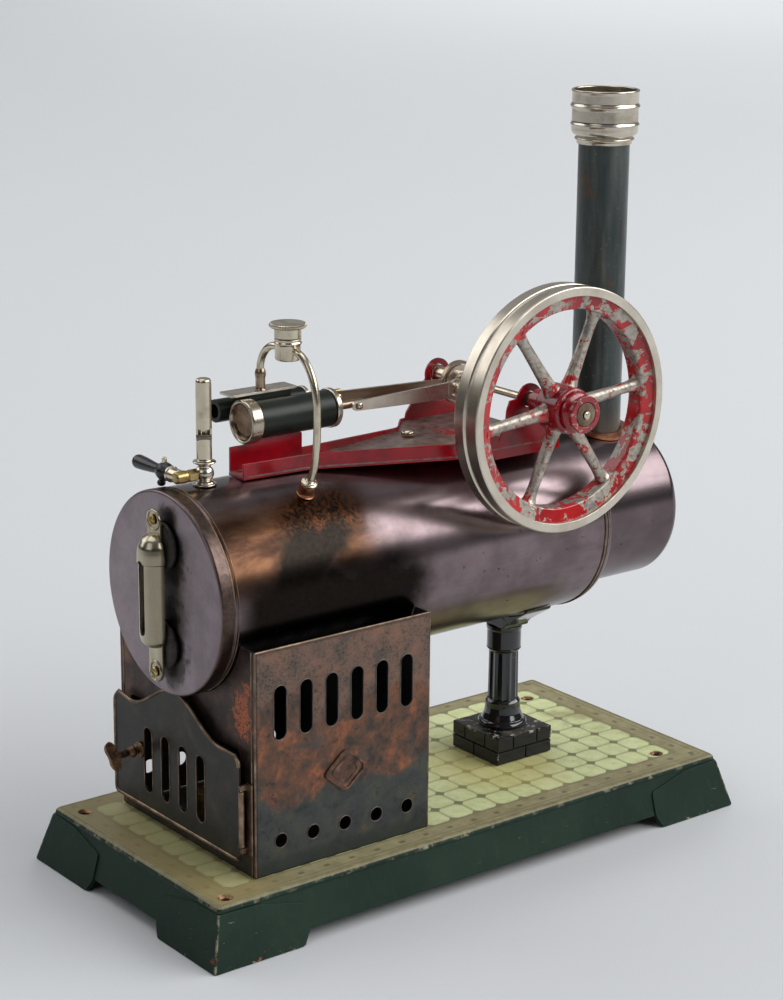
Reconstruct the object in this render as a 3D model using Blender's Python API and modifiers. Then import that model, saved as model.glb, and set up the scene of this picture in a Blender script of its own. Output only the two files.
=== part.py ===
"""Model steam engine: a boiler lying on a firebox and a column, with the engine on top of the boiler.

All numbers are in millimetres and become metres where a mesh or a placement is made.
+X runs along the boiler from the firebox to the chimney, -Y is the flywheel side and +Z is up.
The origin is on the floor under the middle of the base.
"""
import math

import bmesh
import bpy
from mathutils import Matrix, Vector

MM = 0.001
GAP = 0.3
WELD = 1e-6
FINE = 48
MEDIUM = 24
COARSE = 16

# Base tray
BASE_LENGTH = 240.0
BASE_WIDTH = 109.8
BASE_HEIGHT = 21.8
RIM_Z = 19.9
RIM_FLARE = 1.6
FLOOR_FLARE = 7.1
BASE_SHEET = 1.0
SKIRT_CLEARANCE = 5.0
FOOT_END_X = 88.0
FOOT_END_Y = 24.5
BASE_HOLES = ((-114.4, -50.0), (-114.4, 45.0), (102.6, 38.5), (102.6, -41.5))
BASE_HOLE_RADIUS = 1.7

# Boiler, smokebox and chimney
BOILER_Z = 119.1
BOILER_RADIUS = 37.4
BOILER_SHEET = 0.8
CAP_RADIUS = 37.75
CAP_FACE_X = -106.2
CAP_SKIRT = 5.6
BOILER_END_X = 74.2
REAR_CAP_WIDTH = 5.0
SMOKEBOX_RADIUS = 31.3
SMOKEBOX_END_X = 120.1
CHIMNEY_X = 101.5
CHIMNEY_RADIUS = 10.1
CHIMNEY_BORE = 9.3
CHIMNEY_TOP_Z = 286.5
CHIMNEY_TUBE_TOP_Z = 270.0

# Firebox and its door
FIREBOX_X = (-97.5, -18.8)
FIREBOX_HALF_WIDTH = 44.3
FIREBOX_TOP_Z = 106.9
FIREBOX_SHEET = 0.8
SLOT_WIDTH = 5.7
SIDE_SLOTS_X = (-86.5, 11.35, 6)
SIDE_SLOT_Z = (72.4, 93.0)
SIDE_HOLES_X = (-86.3, 14.3, 5)
SIDE_HOLE_Z = 33.8
SIDE_HOLE_RADIUS = 2.8
EMBLEM_CENTRE = (-57.9, 54.1)
EMBLEM_HALF = (9.4, 8.0)
DOOR_X = (-100.9, -100.2)
DOOR_Y = (-39.3, 44.4)
DOOR_Z = (27.6, 68.0)
DOOR_HUMP = 12.4
DOOR_HUMP_HALF_WIDTH = 30.0
DOOR_SLOTS_Y = (-14.6, 11.75, 4)
DOOR_SLOT_Z = (34.4, 60.4)
HINGE_X = -100.55
HINGE_Y = -40.2
HINGE_Z = (33.6, 54.8)
KNUCKLE_RADIUS = 1.1
KNUCKLE_BORE = 0.75
KNOB_YZ = (25.9, 50.0)

# Column under the boiler
COLUMN_X = 55.3
PLINTH_HALF = 14.2
PLINTH_TOP_Z = 33.2
CAPITAL_TOP_Z = 75.9

# Engine bed on the boiler
BED_Z = (156.8, 157.7)
SHEET = 0.8
NEAR_PLATE_Y = -25.8
FAR_PLATE_Y = 29.9
BED_LEFT_X = -74.0
BED_RIGHT_X = 58.5
BED_NEAR_Y = -3.9
BED_FAR_Y = 5.9
SUPPORT_RIGHT_X = -41.0
FLANGE_TOP_Z = 162.8
BOSS_RADIUS = 6.1

# Crankshaft, flywheel and pulley
SHAFT_X = 42.9
SHAFT_Z = 175.1
SHAFT_RADIUS = 1.5
SHAFT_BORE = 1.8
SHAFT_Y = (-59.0, 32.0)
CRANK_THROW = 12.0
CRANK_Y = 3.2
CRANK_HALF_WIDTH = 3.3
CRANK_BEND = 2.2
FLYWHEEL_RADIUS = 46.7
FLYWHEEL_Y = (-50.4, -37.5)
RIM_RING_RADIUS = 43.4
RIM_BORE_RADIUS = 37.7
SPOKE_COUNT = 6
SPOKE_START_DEG = 6.0
SPOKE_Y = -44.2
HUB_RADIUS = 8.9
PULLEY_RADIUS = 7.2

# Cylinder, piston and connecting rod
CYLINDER_Y = 6.0
CYLINDER_Z = 175.4
CYLINDER_X = (-62.5, -29.5)
BARREL_RADIUS = 7.0
BARREL_BORE = 5.4
REAR_COVER_RADIUS = 8.2
FRONT_COVER_RADIUS = 7.5
PISTON_X = (-61.6, -55.6)
PISTON_ROD_RADIUS = 1.6
PISTON_ROD_END_X = -12.2
ROD_Y = (2.6, 3.8)
CROSSHEAD_X = -16.5
CRANK_PIN_X = SHAFT_X - CRANK_THROW

# Valve gear
ECCENTRIC_THROW = 1.5
ECCENTRIC_ANGLE_DEG = 295.0
SHEAVE_RADIUS = 7.0
STRAP_RADIUS = 8.6
STRAP_Y = (16.6, 18.0)
VALVE_Y = 19.3
VALVE_Z = 177.4
VALVE_TUBE_RADIUS = 4.3
VALVE_BORE = 2.7
VALVE_TUBE_X = (-70.6, -32.0)
VALVE_PIN_X = -16.0
CHEST_PLATE_Z = (184.2, 185.1)

# Whistle and its valve
WHISTLE_X = -87.9
WHISTLE_RADIUS = 2.85
WHISTLE_TOP_Z = 195.7
WHISTLE_BALL_Z = 160.8
VALVE_AXIS_X = -98.0
VALVE_AXIS_Z = 160.8

# Water gauge on the front cap
GAUGE_X = -109.4
GAUGE_Z = (86.6, 151.1)
GAUGE_SHELL_RADIUS = 6.1
GAUGE_BOSS_Z = (100.7, 137.5)
GAUGE_SCREW_Z = (90.4, 147.4)

# Steam pipes and lubricator
PIPE_X = -56.4
PIPE_RADIUS = 1.4
STUB_ANGLE_DEG = 28.5
POT_Y = -7.4
POT_Z = 199.6
PIPE_INLET_Z = 203.2
CHEST_PIPE_Y = 10.0

FINISHES = {
    "green_enamel": ((0.035, 0.075, 0.055), 0.45, 0.0),
    "copper_patina": ((0.26, 0.15, 0.10), 0.5, 0.8),
    "dark_bronze": ((0.10, 0.10, 0.09), 0.45, 0.8),
    "blued_steel": ((0.17, 0.14, 0.16), 0.3, 0.9),
    "chimney_steel": ((0.07, 0.09, 0.10), 0.4, 0.7),
    "nickel": ((0.62, 0.57, 0.49), 0.25, 1.0),
    "flywheel_iron": ((0.6, 0.52, 0.45), 0.35, 0.9),
    "black_enamel": ((0.012, 0.013, 0.015), 0.2, 0.0),
    "red_enamel": ((0.45, 0.02, 0.03), 0.35, 0.0),
    "dark_green_enamel": ((0.03, 0.04, 0.035), 0.35, 0.2),
    "brass": ((0.60, 0.44, 0.20), 0.3, 1.0),
    "copper": ((0.55, 0.25, 0.13), 0.35, 1.0),
    "gasket": ((0.04, 0.035, 0.03), 0.8, 0.0),
    "glass": ((0.8, 0.85, 0.85), 0.05, 0.0),
}


# ---------------------------------------------------------------- scene and helpers

def clear_scene():
    """Remove every object that is already in the file."""
    for item in list(bpy.data.objects):
        bpy.data.objects.remove(item)


def new_collection(name):
    """A collection linked to the scene."""
    collection = bpy.data.collections.new(name)
    bpy.context.scene.collection.children.link(collection)
    return collection


def finish(name):
    """The Principled material of this name, made once."""
    if name in bpy.data.materials:
        return bpy.data.materials[name]
    colour, roughness, metallic = FINISHES[name]
    material = bpy.data.materials.new(name)
    material.use_nodes = True
    shader = material.node_tree.nodes["Principled BSDF"]
    shader.inputs["Base Color"].default_value = (*colour, 1.0)
    shader.inputs["Roughness"].default_value = roughness
    shader.inputs["Metallic"].default_value = metallic
    return material


def place(item, finish_name):
    """Link an object as a sub-part with a finish, or as a cutter where there is none."""
    if finish_name:
        PARTS.objects.link(item)
        item.data.materials.clear()
        item.data.materials.append(finish(finish_name))
    else:
        CUTTERS.objects.link(item)
        item.hide_render = True
        item.display_type = "WIRE"
    return item


def axis_turn(axis):
    """The rotation that takes local +Z to the named world axis."""
    turns = {"X": Matrix.Rotation(math.pi / 2, 4, "Y"), "Y": Matrix.Rotation(-math.pi / 2, 4, "X")}
    return turns.get(axis, Matrix.Identity(4))


def axis_place(axis, across):
    """The placement of a body turned about an axis that runs along X, Y or Z through `across`."""
    first, second = across
    points = {"X": (0.0, first, second), "Y": (first, 0.0, second), "Z": (first, second, 0.0)}
    return Matrix.Translation(Vector(points[axis]) * MM) @ axis_turn(axis)


def turned(name, profile, axis, across, finish_name=None, closed=False, steps=COARSE):
    """A body of revolution. The profile holds (radius, place along the axis) and runs down its outer side."""
    mesh = bpy.data.meshes.new(name)
    points = [(radius * MM, 0.0, height * MM) for radius, height in profile]
    links = [(index, index + 1) for index in range(len(points) - 1)]
    if closed:
        links.append((len(points) - 1, 0))
    mesh.from_pydata(points, links, [])
    item = bpy.data.objects.new(name, mesh)
    place(item, finish_name)
    item.matrix_world = axis_place(axis, across)
    screw = item.modifiers.new("turn", "SCREW")
    screw.axis = "Z"
    screw.steps = steps
    screw.render_steps = steps
    screw.use_merge_vertices = True
    screw.merge_threshold = 0.00001
    screw.use_smooth_shade = True
    return item


def rod(name, axis, across, radius, ends, finish_name=None, steps=COARSE):
    """A plain round bar between two places along its axis."""
    low, high = ends
    return turned(name, [(0, high), (radius, high), (radius, low), (0, low)], axis, across,
                  finish_name, steps=steps)


def ring(name, axis, across, radii, ends, finish_name=None, steps=COARSE):
    """A plain tube with the given bore and outer radius."""
    bore, outer = radii
    low, high = ends
    return turned(name, [(bore, high), (outer, high), (outer, low), (bore, low)], axis, across,
                  finish_name, closed=True, steps=steps)


def box(name, low, high, finish_name=None):
    """A rectangular block between two corners."""
    shape = bmesh.new()
    bmesh.ops.create_cube(shape, size=1.0)
    size = [(top - bottom) * MM for bottom, top in zip(low, high)]
    bmesh.ops.scale(shape, vec=size, verts=shape.verts)
    mesh = bpy.data.meshes.new(name)
    shape.to_mesh(mesh)
    shape.free()
    item = bpy.data.objects.new(name, mesh)
    place(item, finish_name)
    item.location = [(bottom + top) / 2 * MM for bottom, top in zip(low, high)]
    return item


def arc(centre, radius, start, stop, steps):
    """Points along an arc, both ends included, with the angles in degrees."""
    turns = [math.radians(start + (stop - start) * step / steps) for step in range(steps + 1)]
    return [(centre[0] + radius * math.cos(turn), centre[1] + radius * math.sin(turn)) for turn in turns]


def circle(centre, radius, steps=COARSE):
    """The outline of a round hole or disc."""
    return arc(centre, radius, 0.0, 360.0, steps)[:-1]


def slot(middle, ends, width=SLOT_WIDTH):
    """The outline of an upright slot with round ends."""
    low, high = ends
    radius = width / 2
    return arc((middle, high - radius), radius, 0, 180, 6) + arc((middle, low + radius), radius, 180, 360, 6)


def row(first_pitch_count):
    """The places of a row, from its first place, pitch and count."""
    first, pitch, count = first_pitch_count
    return [first + pitch * index for index in range(count)]


def weld_to_mesh(curve_item, name):
    """A mesh object in place of a curve object, with its caps welded on."""
    bpy.context.view_layer.update()
    evaluated = curve_item.evaluated_get(bpy.context.evaluated_depsgraph_get())
    mesh = bpy.data.meshes.new_from_object(evaluated)
    mesh.name = name
    shape = bmesh.new()
    shape.from_mesh(mesh)
    bmesh.ops.remove_doubles(shape, verts=shape.verts, dist=WELD)
    bmesh.ops.recalc_face_normals(shape, faces=shape.faces)
    shape.to_mesh(mesh)
    shape.free()
    item = bpy.data.objects.new(name, mesh)
    item.matrix_world = curve_item.matrix_world
    bpy.data.objects.remove(curve_item)
    return item


def plate(name, outlines, plane, ends, finish_name=None):
    """A flat piece: outlines in the XY, XZ or YZ plane, where inner outlines are holes, made solid."""
    low, high = ends
    curve = bpy.data.curves.new(name + "_outline", "CURVE")
    curve.dimensions = "2D"
    curve.fill_mode = "BOTH"
    curve.extrude = (high - low) / 2 * MM
    for outline in outlines:
        spline = curve.splines.new("POLY")
        spline.points.add(len(outline) - 1)
        for point, (first, second) in zip(spline.points, outline):
            point.co = (first * MM, second * MM, 0.0, 1.0)
        spline.use_cyclic_u = True
    flat = bpy.data.objects.new(name + "_outline", curve)
    bpy.context.scene.collection.objects.link(flat)
    middle = (low + high) / 2 * MM
    turns = {
        "XY": Matrix.Translation((0, 0, middle)),
        "XZ": Matrix.Translation((0, middle, 0)) @ Matrix.Rotation(math.pi / 2, 4, "X"),
        "YZ": Matrix.Translation((middle, 0, 0)) @ Matrix(((0, 0, 1, 0), (1, 0, 0, 0), (0, 1, 0, 0), (0, 0, 0, 1))),
    }
    flat.matrix_world = turns[plane]
    return place(weld_to_mesh(flat, name), finish_name)


def wire(name, points, radius, finish_name, roundness=4):
    """A round bar bent along a line of points."""
    curve = bpy.data.curves.new(name + "_line", "CURVE")
    curve.dimensions = "3D"
    curve.bevel_depth = radius * MM
    curve.bevel_resolution = roundness
    curve.use_fill_caps = True
    spline = curve.splines.new("POLY")
    spline.points.add(len(points) - 1)
    for point, place_mm in zip(spline.points, points):
        point.co = (*(value * MM for value in place_mm), 1.0)
    line = bpy.data.objects.new(name + "_line", curve)
    bpy.context.scene.collection.objects.link(line)
    item = weld_to_mesh(line, name)
    item.data.shade_smooth()
    item.data.set_sharp_from_angle(angle=math.radians(40))
    return place(item, finish_name)


def smooth_line(knots, steps):
    """Points on a smooth curve through the knots."""
    padded = [knots[0]] + list(knots) + [knots[-1]]
    line = []
    for index in range(1, len(padded) - 2):
        before, start, stop, after = (Vector(padded[index + shift]) for shift in (-1, 0, 1, 2))
        for step in range(steps):
            part = step / steps
            line.append(0.5 * (2 * start + (stop - before) * part
                               + (2 * before - 5 * start + 4 * stop - after) * part ** 2
                               + (3 * start - before - 3 * stop + after) * part ** 3))
    line.append(Vector(knots[-1]))
    return line


def sheet(name, rings, thickness, finish_name, cover=False):
    """A folded sheet through rings of points, thickened inwards; `cover` closes the last ring."""
    shape = bmesh.new()
    loops = [[shape.verts.new(Vector(point) * MM) for point in points] for points in rings]
    for lower, upper in zip(loops, loops[1:]):
        count = len(lower)
        for index in range(count):
            following = (index + 1) % count
            shape.faces.new((lower[index], lower[following], upper[following], upper[index]))
    if cover:
        shape.faces.new(loops[-1])
    mesh = bpy.data.meshes.new(name)
    shape.to_mesh(mesh)
    shape.free()
    item = bpy.data.objects.new(name, mesh)
    place(item, finish_name)
    thicken(item, thickness, -1.0)
    return item


def ribbon(name, stations, thickness):
    """An upright strip through stations of (x, y, bottom, top), thickened about its middle."""
    shape = bmesh.new()
    pairs = [(shape.verts.new(Vector((x, y, low)) * MM), shape.verts.new(Vector((x, y, high)) * MM))
             for x, y, low, high in stations]
    for (low_a, high_a), (low_b, high_b) in zip(pairs, pairs[1:]):
        shape.faces.new((low_a, low_b, high_b, high_a))
    mesh = bpy.data.meshes.new(name)
    shape.to_mesh(mesh)
    shape.free()
    item = place(bpy.data.objects.new(name, mesh), None)
    thicken(item, thickness, 0.0)
    return item


def thicken(item, thickness, offset):
    """Give a sheet its thickness."""
    solid = item.modifiers.new("thickness", "SOLIDIFY")
    solid.thickness = thickness * MM
    solid.offset = offset
    solid.use_even_offset = True


def shape_with(item, tool, operation):
    """Cut, join or trim an object with another one."""
    change = item.modifiers.new(operation.lower(), "BOOLEAN")
    change.operation = operation
    change.object = tool
    change.solver = "EXACT"
    return item


def cut(item, *tools):
    """Take the tools away from an object."""
    for tool in tools:
        shape_with(item, tool, "DIFFERENCE")
    return item


def join(item, *tools):
    """Fuse the tools to an object."""
    for tool in tools:
        shape_with(item, tool, "UNION")
    return item


def hang_on(name, position, items):
    """An empty on a joint's axis, with the pieces that move with it."""
    pivot = bpy.data.objects.new(name, None)
    pivot.location = Vector(position) * MM
    pivot.empty_display_size = 0.01
    PARTS.objects.link(pivot)
    bpy.context.view_layer.update()
    for item in items:
        item.parent = pivot
        item.matrix_parent_inverse = pivot.matrix_world.inverted()


# ---------------------------------------------------------------- base, firebox and door

def rectangle(half_x, half_y, z):
    """The corners of an upright rectangle centred on the origin."""
    return [(-half_x, -half_y, z), (half_x, -half_y, z), (half_x, half_y, z), (-half_x, half_y, z)]


def build_base():
    """The pressed tray, cut away between its four feet."""
    half_x = BASE_LENGTH / 2
    half_y = BASE_WIDTH / 2
    rings = [rectangle(half_x + flare, half_y + flare, z)
             for flare, z in ((FLOOR_FLARE, 0.0), (RIM_FLARE, RIM_Z), (0.0, BASE_HEIGHT))]
    tray = sheet("base_plate", rings, BASE_SHEET, "green_enamel", cover=True)
    lean = 3.0
    under_floor = box("under_floor", (-BASE_LENGTH, -BASE_WIDTH, -5), (BASE_LENGTH, BASE_WIDTH, 0))
    long_gap = [(-FOOT_END_X, -1), (FOOT_END_X, -1), (FOOT_END_X - lean, SKIRT_CLEARANCE),
                (lean - FOOT_END_X, SKIRT_CLEARANCE)]
    short_gap = [(-FOOT_END_Y, -1), (FOOT_END_Y, -1), (FOOT_END_Y - lean, SKIRT_CLEARANCE),
                 (lean - FOOT_END_Y, SKIRT_CLEARANCE)]
    cut(tray, under_floor, plate("long_skirt_gap", [long_gap], "XZ", (-BASE_WIDTH, BASE_WIDTH)),
        plate("short_skirt_gap", [short_gap], "YZ", (-BASE_LENGTH, BASE_LENGTH)),
        plate("base_holes", [circle(hole, BASE_HOLE_RADIUS, 12) for hole in BASE_HOLES], "XY",
              (BASE_HEIGHT - 4, BASE_HEIGHT + 4)))


def build_firebox():
    """The folded sheet box, open above and below, with its air slots and the seat for the boiler."""
    left, right = FIREBOX_X
    half = FIREBOX_HALF_WIDTH
    rings = [[(left, -half, z), (right, -half, z), (right, half, z), (left, half, z)]
             for z in (BASE_HEIGHT + GAP, FIREBOX_TOP_Z)]
    shell = sheet("firebox_shell", rings, FIREBOX_SHEET, "copper_patina")
    openings = [slot(x, SIDE_SLOT_Z) for x in row(SIDE_SLOTS_X)]
    openings += [circle((x, SIDE_HOLE_Z), SIDE_HOLE_RADIUS, 12) for x in row(SIDE_HOLES_X)]
    cut(shell, rod("boiler_seat", "X", (0, BOILER_Z), BOILER_RADIUS + 0.4, (left - 9, right + 9), steps=FINE),
        plate("side_openings", openings, "XZ", (-half - 5, half + 5)),
        box("front_opening", (left - 3, -35, 27), (left + 3, 38, 68)))
    across, up = EMBLEM_HALF
    corner = 1.6
    x, z = EMBLEM_CENTRE
    diamond = [(x - across, z - corner), (x - corner, z - up), (x + corner, z - up), (x + across, z - corner),
               (x + across, z + corner), (x + corner, z + up), (x - corner, z + up), (x - across, z + corner)]
    plate("side_emblem", [diamond], "XZ", (-half - GAP - 0.6, -half - GAP), "copper_patina")


def door_outline():
    """The door's edge: square below, a bell-shaped hump above."""
    near, far = DOOR_Y
    low, shoulder = DOOR_Z
    middle = (near + far) / 2
    hump = []
    for step in range(25):
        across = DOOR_HUMP_HALF_WIDTH * (1 - step / 12)
        rise = DOOR_HUMP / 2 * (1 + math.cos(math.pi * across / DOOR_HUMP_HALF_WIDTH))
        hump.append((middle + across, shoulder + rise))
    return [(near, low), (far, low), (far, shoulder + 1.5), *hump, (near, shoulder - 0.5)]


def build_door():
    """The firebox door with its rolled knuckle, the hinge parts and the turning knob."""
    knob_y, knob_z = KNOB_YZ
    openings = [slot(y, DOOR_SLOT_Z) for y in row(DOOR_SLOTS_Y)]
    openings.append(circle(KNOB_YZ, 1.3, 12))
    door = plate("firebox_door", [door_outline()], "YZ", DOOR_X, "dark_bronze")
    cut(door, plate("door_openings", openings, "YZ", (DOOR_X[0] - 3, DOOR_X[1] + 3)))
    hinge = (HINGE_X, HINGE_Y)
    low, high = HINGE_Z
    join(door, ring("knuckle", "Z", hinge, (KNUCKLE_BORE, KNUCKLE_RADIUS), HINGE_Z, steps=12))
    rod("door_hinge_pin", "Z", hinge, 0.45, HINGE_Z, "nickel", steps=10)
    panel = FIREBOX_X[0]
    bracket = box("door_hinge_bracket", (panel - GAP - 0.8, -43.8, low - 3), (panel - GAP, -39.7, high + 3),
                  "dark_bronze")
    for name, ends in (("lower_lug", (low - 2.6, low - GAP)), ("upper_lug", (high + GAP, high + 2.6))):
        join(bracket, box(name, (-101.3, -41.2, ends[0]), (panel - GAP - 0.4, -39.65, ends[1])))
    washer = ring("door_knob_washer", "X", KNOB_YZ, (1.2, 3.0), (-102.2, -101.2), "dark_bronze", steps=20)
    knob = turned("door_knob", [(0, -99.4), (0.9, -99.4), (0.9, -103.6), (2.3, -104.0), (2.3, -105.6),
                                (1.1, -106.2), (1.1, -112.0), (0, -112.0)], "X", KNOB_YZ, "dark_bronze")
    wing = plate("knob_wing", [[(x, z) for x, z in ellipse((-113.2, 0.0), 2.7, 5.6, 20)]], "XZ", (-0.8, 0.8))
    wing.matrix_world = (Matrix.Translation((0, knob_y * MM, knob_z * MM))
                         @ Matrix.Rotation(math.radians(-42), 4, "X") @ wing.matrix_world)
    join(knob, wing)
    hang_on("door_hinge_axis", (HINGE_X, HINGE_Y, (low + high) / 2), [door, washer])
    hang_on("door_knob_axis", (HINGE_X, knob_y, knob_z), [knob])


def ellipse(centre, across, up, steps):
    """The outline of an ellipse."""
    turns = [2 * math.pi * step / steps for step in range(steps)]
    return [(centre[0] + across * math.cos(turn), centre[1] + up * math.sin(turn)) for turn in turns]


def build_burner():
    """The spirit lamp that stands in the firebox, with its wick tubes."""
    floor = BASE_HEIGHT + GAP
    tank_top = floor + 12
    tank = box("burner_tank", (-86, -15, floor), (-34, 15, tank_top), "brass")
    for index, x in enumerate(row((-79, 12.7, 4))):
        join(tank, rod(f"wick_tube_{index}", "Z", (x, 0), 4.0, (tank_top - 3, tank_top + 11), steps=12))


# ---------------------------------------------------------------- boiler, chimney and column

def build_boiler():
    """The boiler tube and its two end caps."""
    across = (0, BOILER_Z)
    face = CAP_FACE_X
    skirt_end = face + CAP_SKIRT
    inner = BOILER_RADIUS - BOILER_SHEET
    ring("boiler_shell", "X", across, (inner, BOILER_RADIUS), (skirt_end + GAP, BOILER_END_X), "blued_steel",
         steps=FINE)
    outer = [(0, face + 0.9), (CAP_RADIUS - 0.9, face + 0.9), (CAP_RADIUS - 0.9, skirt_end),
             (CAP_RADIUS, skirt_end), (CAP_RADIUS, face + 1.2), (CAP_RADIUS - 0.35, face + 0.35),
             (CAP_RADIUS - 1.2, face), (0, face)]
    turned("boiler_front_cap", outer, "X", across, "blued_steel", steps=FINE)
    start = BOILER_END_X + GAP
    back = start + REAR_CAP_WIDTH
    rear = [(0, back), (BOILER_RADIUS - 1.5, back), (BOILER_RADIUS - 0.4, back - 0.4),
            (BOILER_RADIUS, back - 1.5), (BOILER_RADIUS, start), (inner, start), (inner, back - 0.9),
            (0, back - 0.9)]
    turned("boiler_rear_cap", rear, "X", across, "blued_steel", steps=FINE)


def build_smokebox():
    """The smaller drum behind the boiler, closed at its end and open to the chimney."""
    start = BOILER_END_X + 2 * GAP + REAR_CAP_WIDTH
    end = SMOKEBOX_END_X
    radius = SMOKEBOX_RADIUS
    drum = [(0, end), (radius - 3, end), (radius - 0.9, end - 0.9), (radius, end - 3), (radius, start),
            (radius - 0.8, start), (radius - 0.8, end - 3), (radius - 3.4, end - 0.8), (0, end - 0.8)]
    smokebox = turned("smokebox_drum", drum, "X", (0, BOILER_Z), "blued_steel", steps=48)
    stack = (CHIMNEY_X, 0)
    cut(smokebox, rod("flue_hole", "Z", stack, 8.0, (BOILER_Z + 20, BOILER_Z + 40), steps=MEDIUM))
    top = BOILER_Z + radius
    clearance = rod("drum_clearance", "X", (0, BOILER_Z), radius + GAP, (60, 140), steps=48)
    tube = ring("chimney_tube", "Z", stack, (CHIMNEY_BORE, CHIMNEY_RADIUS), (top - 5, CHIMNEY_TUBE_TOP_Z),
                "chimney_steel", steps=MEDIUM)
    cut(tube, clearance)
    flange = ring("chimney_flange", "Z", stack, (CHIMNEY_RADIUS + GAP, 13.4), (top - 6, top + 4), "copper",
                  steps=MEDIUM)
    cut(flange, clearance)
    shape_with(flange, rod("flange_trim", "X", (0, BOILER_Z), radius + 1.3, (60, 140), steps=48), "INTERSECT")


def build_chimney_cap():
    """The spun crown on the chimney: two raised beads, a rounded foot and a collar."""
    top = CHIMNEY_TOP_Z
    bore = CHIMNEY_RADIUS + GAP
    profile = [(12.6, top), (13.4, top - 0.5), (13.3, top - 1.4), (13.1, top - 5.6), (13.8, top - 6.5),
               (13.1, top - 7.4), (13.1, top - 12.9), (13.6, top - 13.7), (13.0, top - 14.5),
               (13.1, top - 16.4), (12.5, top - 17.5), (11.0, top - 18.2), (11.75, top - 19.3),
               (10.9, top - 21.2), (bore, top - 21.2), (bore, top - 17.4), (12.2, top - 15.8),
               (12.2, top - 6.5)]
    turned("chimney_cap", profile, "Z", (CHIMNEY_X, 0), "nickel", closed=True, steps=MEDIUM)


def build_column():
    """The plinth, the turned column and the cradle under the boiler."""
    base = BASE_HEIGHT + GAP
    half = PLINTH_HALF
    box("column_plinth", (COLUMN_X - half, -half, base), (COLUMN_X + half, half, PLINTH_TOP_Z), "black_enamel")
    foot = PLINTH_TOP_Z + GAP
    top = CAPITAL_TOP_Z
    profile = [(0, top), (7.2, top), (7.0, 66.2), (6.0, 65.2), (5.8, 64.5), (6.1, 44.0), (7.1, 42.8),
               (7.6, 38.5), (8.6, 36.0), (9.9, 34.6), (9.9, foot), (0, foot)]
    turned("column_shaft", profile, "Z", (COLUMN_X, 0), "black_enamel", steps=24)
    seat = BOILER_RADIUS + GAP
    axis = (0, BOILER_Z)
    ear = 34
    under = arc(axis, seat, 270 + ear, 270 - ear, 16)
    flare = [(-20.5, 85.6), (-14.0, 82.0), (-9.5, 79.4), (-7.2, 76.2), (7.2, 76.2), (9.5, 79.4), (14.0, 82.0),
             (20.5, 85.6)]
    plate("column_saddle", [under + flare], "YZ", (COLUMN_X - 6.5, COLUMN_X + 6.5), "black_enamel")


# ---------------------------------------------------------------- engine bed and cylinder

def bearing_outline(foot_z):
    """A bearing plate: a tapered foot, a shoulder on each side and a round boss about the shaft."""
    shaft = (SHAFT_X, SHAFT_Z)
    left = [(33.4, 175.0), (31.6, 168.0), (27.6, 160.0), (26.0, foot_z)]
    right = [(BED_RIGHT_X, foot_z), (BED_RIGHT_X, 160.0), (54.4, 168.0), (52.4, 175.0)]
    return right + arc(shaft, BOSS_RADIUS, 10, 170, 14) + left


def build_bed():
    """The sheet bed: floor, side flanges, the cylinder's stand and the two bearing plates."""
    near_bend_x, far_bend_x = 7.0, 14.0
    near_kink = (-45.0, -5.4)
    floor_outline = [(BED_LEFT_X, BED_NEAR_Y), near_kink, (near_bend_x, NEAR_PLATE_Y),
                     (BED_RIGHT_X, NEAR_PLATE_Y), (BED_RIGHT_X, FAR_PLATE_Y), (24.5, FAR_PLATE_Y),
                     (far_bend_x, 18.0), (SUPPORT_RIGHT_X, BED_FAR_Y), (BED_LEFT_X, BED_FAR_Y)]
    bed = plate("engine_bed", [floor_outline], "XY", BED_Z, "red_enamel")
    foot = BED_Z[0] - 0.2
    near = ribbon("near_flange", [(BED_LEFT_X, BED_NEAR_Y, foot, FLANGE_TOP_Z),
                                  (*near_kink, foot, FLANGE_TOP_Z),
                                  (near_bend_x, NEAR_PLATE_Y, foot, FLANGE_TOP_Z),
                                  (28.0, NEAR_PLATE_Y, 154.4, FLANGE_TOP_Z)], SHEET)
    far = ribbon("far_flange", [(SUPPORT_RIGHT_X - 1, BED_FAR_Y, foot, FLANGE_TOP_Z - 0.6),
                                (far_bend_x, 18.0, foot, 159.4),
                                (24.5, FAR_PLATE_Y, foot, 159.0),
                                (27.0, FAR_PLATE_Y, foot, 159.0)], SHEET)
    barrel_seat = CYLINDER_Z - BARREL_RADIUS - GAP
    cover_seat = CYLINDER_Z - REAR_COVER_RADIUS - GAP
    step_x = CYLINDER_X[0] + GAP
    left = BED_LEFT_X + 1
    stand = plate("cylinder_stand", [[(left, foot), (SUPPORT_RIGHT_X, foot), (SUPPORT_RIGHT_X, barrel_seat),
                                      (step_x, barrel_seat), (step_x, cover_seat), (left, cover_seat)]],
                  "XZ", (BED_FAR_Y - 0.45, BED_FAR_Y + 0.45))
    half = SHEET / 2 + 0.05
    shaft = (SHAFT_X, SHAFT_Z)
    near_plate = plate("near_plate", [bearing_outline(153.7), circle(shaft, 3.2, 20)], "XZ",
                       (NEAR_PLATE_Y - half, NEAR_PLATE_Y + half))
    far_plate = plate("far_plate", [bearing_outline(152.7), circle(shaft, 3.8, 20)], "XZ",
                      (FAR_PLATE_Y - half, FAR_PLATE_Y + half))
    join(bed, near, far, stand, near_plate, far_plate)
    rod("bed_screw", "Z", (12.5, 10.0), 2.5, (BED_Z[1] + GAP, BED_Z[1] + 2.6), "nickel", steps=6)
    ring("far_bearing_bush", "Y", shaft, (SHAFT_BORE, 3.5), (19.6, 31.2), "nickel", steps=20)
    ring("near_bearing_bush", "Y", shaft, (SHAFT_BORE, 2.9), (-28.6, -22.6), "dark_bronze", steps=20)


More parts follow.
